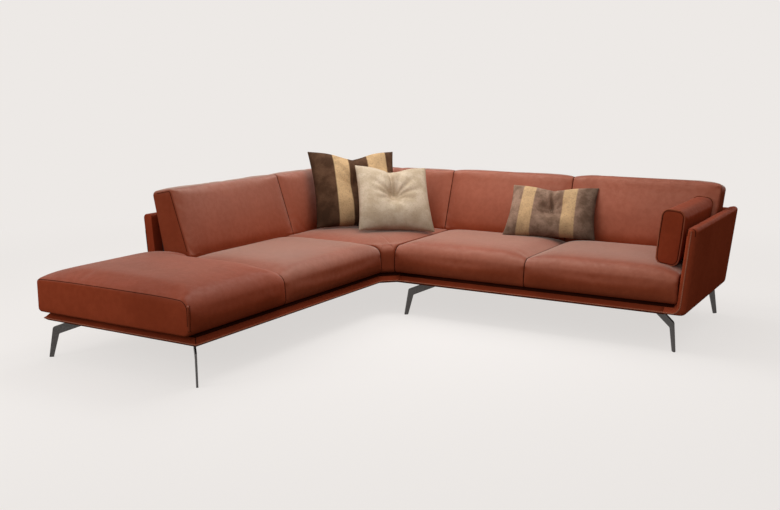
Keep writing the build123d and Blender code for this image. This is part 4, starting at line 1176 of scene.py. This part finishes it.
# Filling of the soft pieces: pressure swells the cloth between its seams, then each movement is capped
fill_frames = 20
fill_settings = {
    "quality": 5,
    "tension_stiffness": 15,
    "compression_stiffness": 15,
    "shear_stiffness": 6,
    "bending_stiffness": 0.6,
    "use_pressure": True,
    "uniform_pressure_force": 4.0,
    "vertex_group_mass": "held",
}


def start_fill(soft):
    """Give a soft piece its cloth, held at its seams."""
    held = soft.piece.vertex_groups.new(name="held")
    held.add(np.flatnonzero(soft.held).tolist(), 1.0, "REPLACE")
    cloth = soft.piece.modifiers.new("fill", "CLOTH")
    for key, value in fill_settings.items():
        setattr(cloth.settings, key, value)
    cloth.settings.shrink_min = -soft.slack
    cloth.settings.effector_weights.gravity = 0
    cloth.collision_settings.use_collision = False
    cloth.point_cache.frame_start = 1
    cloth.point_cache.frame_end = fill_frames
    if soft.flat is not None:
        soft.piece.shape_key_add(name="filled")
        panels = soft.piece.shape_key_add(name="panels")
        panels.data.foreach_set("co", (soft.flat + origin).ravel())
        cloth.settings.rest_shape_key = panels
    return cloth


def end_fill(soft, cloth):
    """Keep the capped swelling in the mesh and take the cloth off."""
    mesh = soft.piece.data
    count = len(mesh.vertices)
    before, after = np.empty(3 * count), np.empty(3 * count)
    mesh.vertices.foreach_get("co", before)
    filled = soft.piece.evaluated_get(bpy.context.evaluated_depsgraph_get())
    filled.data.vertices.foreach_get("co", after)
    moved = (after - before).reshape(-1, 3)
    length = np.linalg.norm(moved, axis=1, keepdims=True) + 1e-9
    moved *= soft.swelling * np.tanh(length / soft.swelling) / length
    soft.piece.modifiers.remove(cloth)
    if soft.flat is not None:
        soft.piece.shape_key_clear()
    mesh.vertices.foreach_set("co", before + moved.ravel())
    mesh.update()


cloths = [start_fill(soft) for soft in soft_pieces]
for step in range(1, fill_frames + 1):
    scene.frame_set(step)
for soft, cloth in zip(soft_pieces, cloths):
    end_fill(soft, cloth)
scene.frame_set(1)
for soft in soft_pieces:
    if soft.folds is not None:
        for vertex, fold in zip(soft.piece.data.vertices, soft.folds):
            vertex.co += Vector(fold)
for piece in smoothed:
    smoothing = piece.modifiers.new("smooth", "SUBSURF")
    smoothing.levels = 1
    smoothing.render_levels = 1

# Stage: pale floor, even background, soft light and the photograph's camera
pale = (0.847, 0.815, 0.791)
floor_glow = 0.788
floor_shade = 0.296
floor_bounce = (0.13, 0.125, 0.12)
floor_size = 60.0
fade_start, fade_end = 2.6, 5.5
floor_corners = [(floor_size * x, floor_size * y, 0) for x, y in ((-1, -1), (1, -1), (1, 1), (-1, 1))]
floor_mesh = bpy.data.meshes.new("floor")
floor_mesh.from_pydata(floor_corners, [], [(0, 1, 2, 3)])
floor = bpy.data.objects.new("floor", floor_mesh)
scene.collection.objects.link(floor)
shader = Shader(bpy.data.materials.new("floor"))
plain = shader.node("BsdfDiffuse", 0, Color=floor_bounce)
shaded = shader.node("BsdfDiffuse", 0, Color=darker(pale, floor_shade))
glow = shader.node("Emission", 0, Color=pale, Strength=floor_glow)
far = shader.node("Emission", 0, Color=pale)
distance = shader.node("VectorMath", "Value", shader.place(), settings={"operation": "LENGTH"})
away = shader.spread(distance, fade_start, fade_end)
faded = shader.node("MixShader", 0, away, shader.node("AddShader", 0, shaded, glow), far)
choice = shader.node("MixShader", 0, shader.seen_rays(), plain, faded)
shader.put(shader.tree.nodes["Material Output"].inputs["Surface"], choice)
floor_mesh.materials.append(shader.owner)

world = bpy.data.worlds.new("studio")
scene.world = world
shader = Shader(world)
fill = shader.node("Background", 0, Color=(1.0, 0.985, 0.96), Strength=0.16)
backdrop = shader.node("Background", 0, Color=pale)
choice = shader.node("MixShader", 0, shader.seen_rays(), fill, backdrop)
shader.put(shader.tree.nodes["World Output"].inputs["Surface"], choice)


def lamp(name, kind, strength, towards, place=(0, 0, 0), **settings):
    """Lamp that shines along a direction."""
    data = bpy.data.lights.new(name, kind)
    data.energy = strength
    for key, value in settings.items():
        setattr(data, key, value)
    lamp_object = bpy.data.objects.new(name, data)
    lamp_object.location = origin + np.array(place)
    lamp_object.rotation_euler = Vector(towards).to_track_quat("-Z", "Y").to_euler()
    scene.collection.objects.link(lamp_object)


lamp("sky", "SUN", 1.15, (0.30, 0.38, -1.0), angle=radians(140))
lamp("front", "SUN", 0.27, (-0.45, 0.85, -0.28), angle=radians(60))
for name, place, towards, width, watts in (
    ("inner_softbox", (0.25, 0.0, 2.25), (0, 0, -1), 1.3, 21.0),
    ("rear_softbox", (-1.2, 1.3, 2.6), (1.0, -1.2, -2.1), 1.6, 24.0),
    ("left_softbox", (-1.6, -3.6, 1.3), (0.7, 2.0, -0.7), 1.0, 11.5),
):
    lamp(name, "AREA", watts, towards, place, shape="DISK", size=width)

camera_data = bpy.data.cameras.new("camera")
camera_data.sensor_width = 36.0
camera_data.lens = 44.13
camera = bpy.data.objects.new("camera", camera_data)
camera.location = (2.5501, -4.6044, 1.4131)
camera.rotation_euler = (pi / 2 - 0.1807, 0.0, 0.5317)
scene.collection.objects.link(camera)
scene.camera = camera
scene.view_settings.view_transform = "Standard"
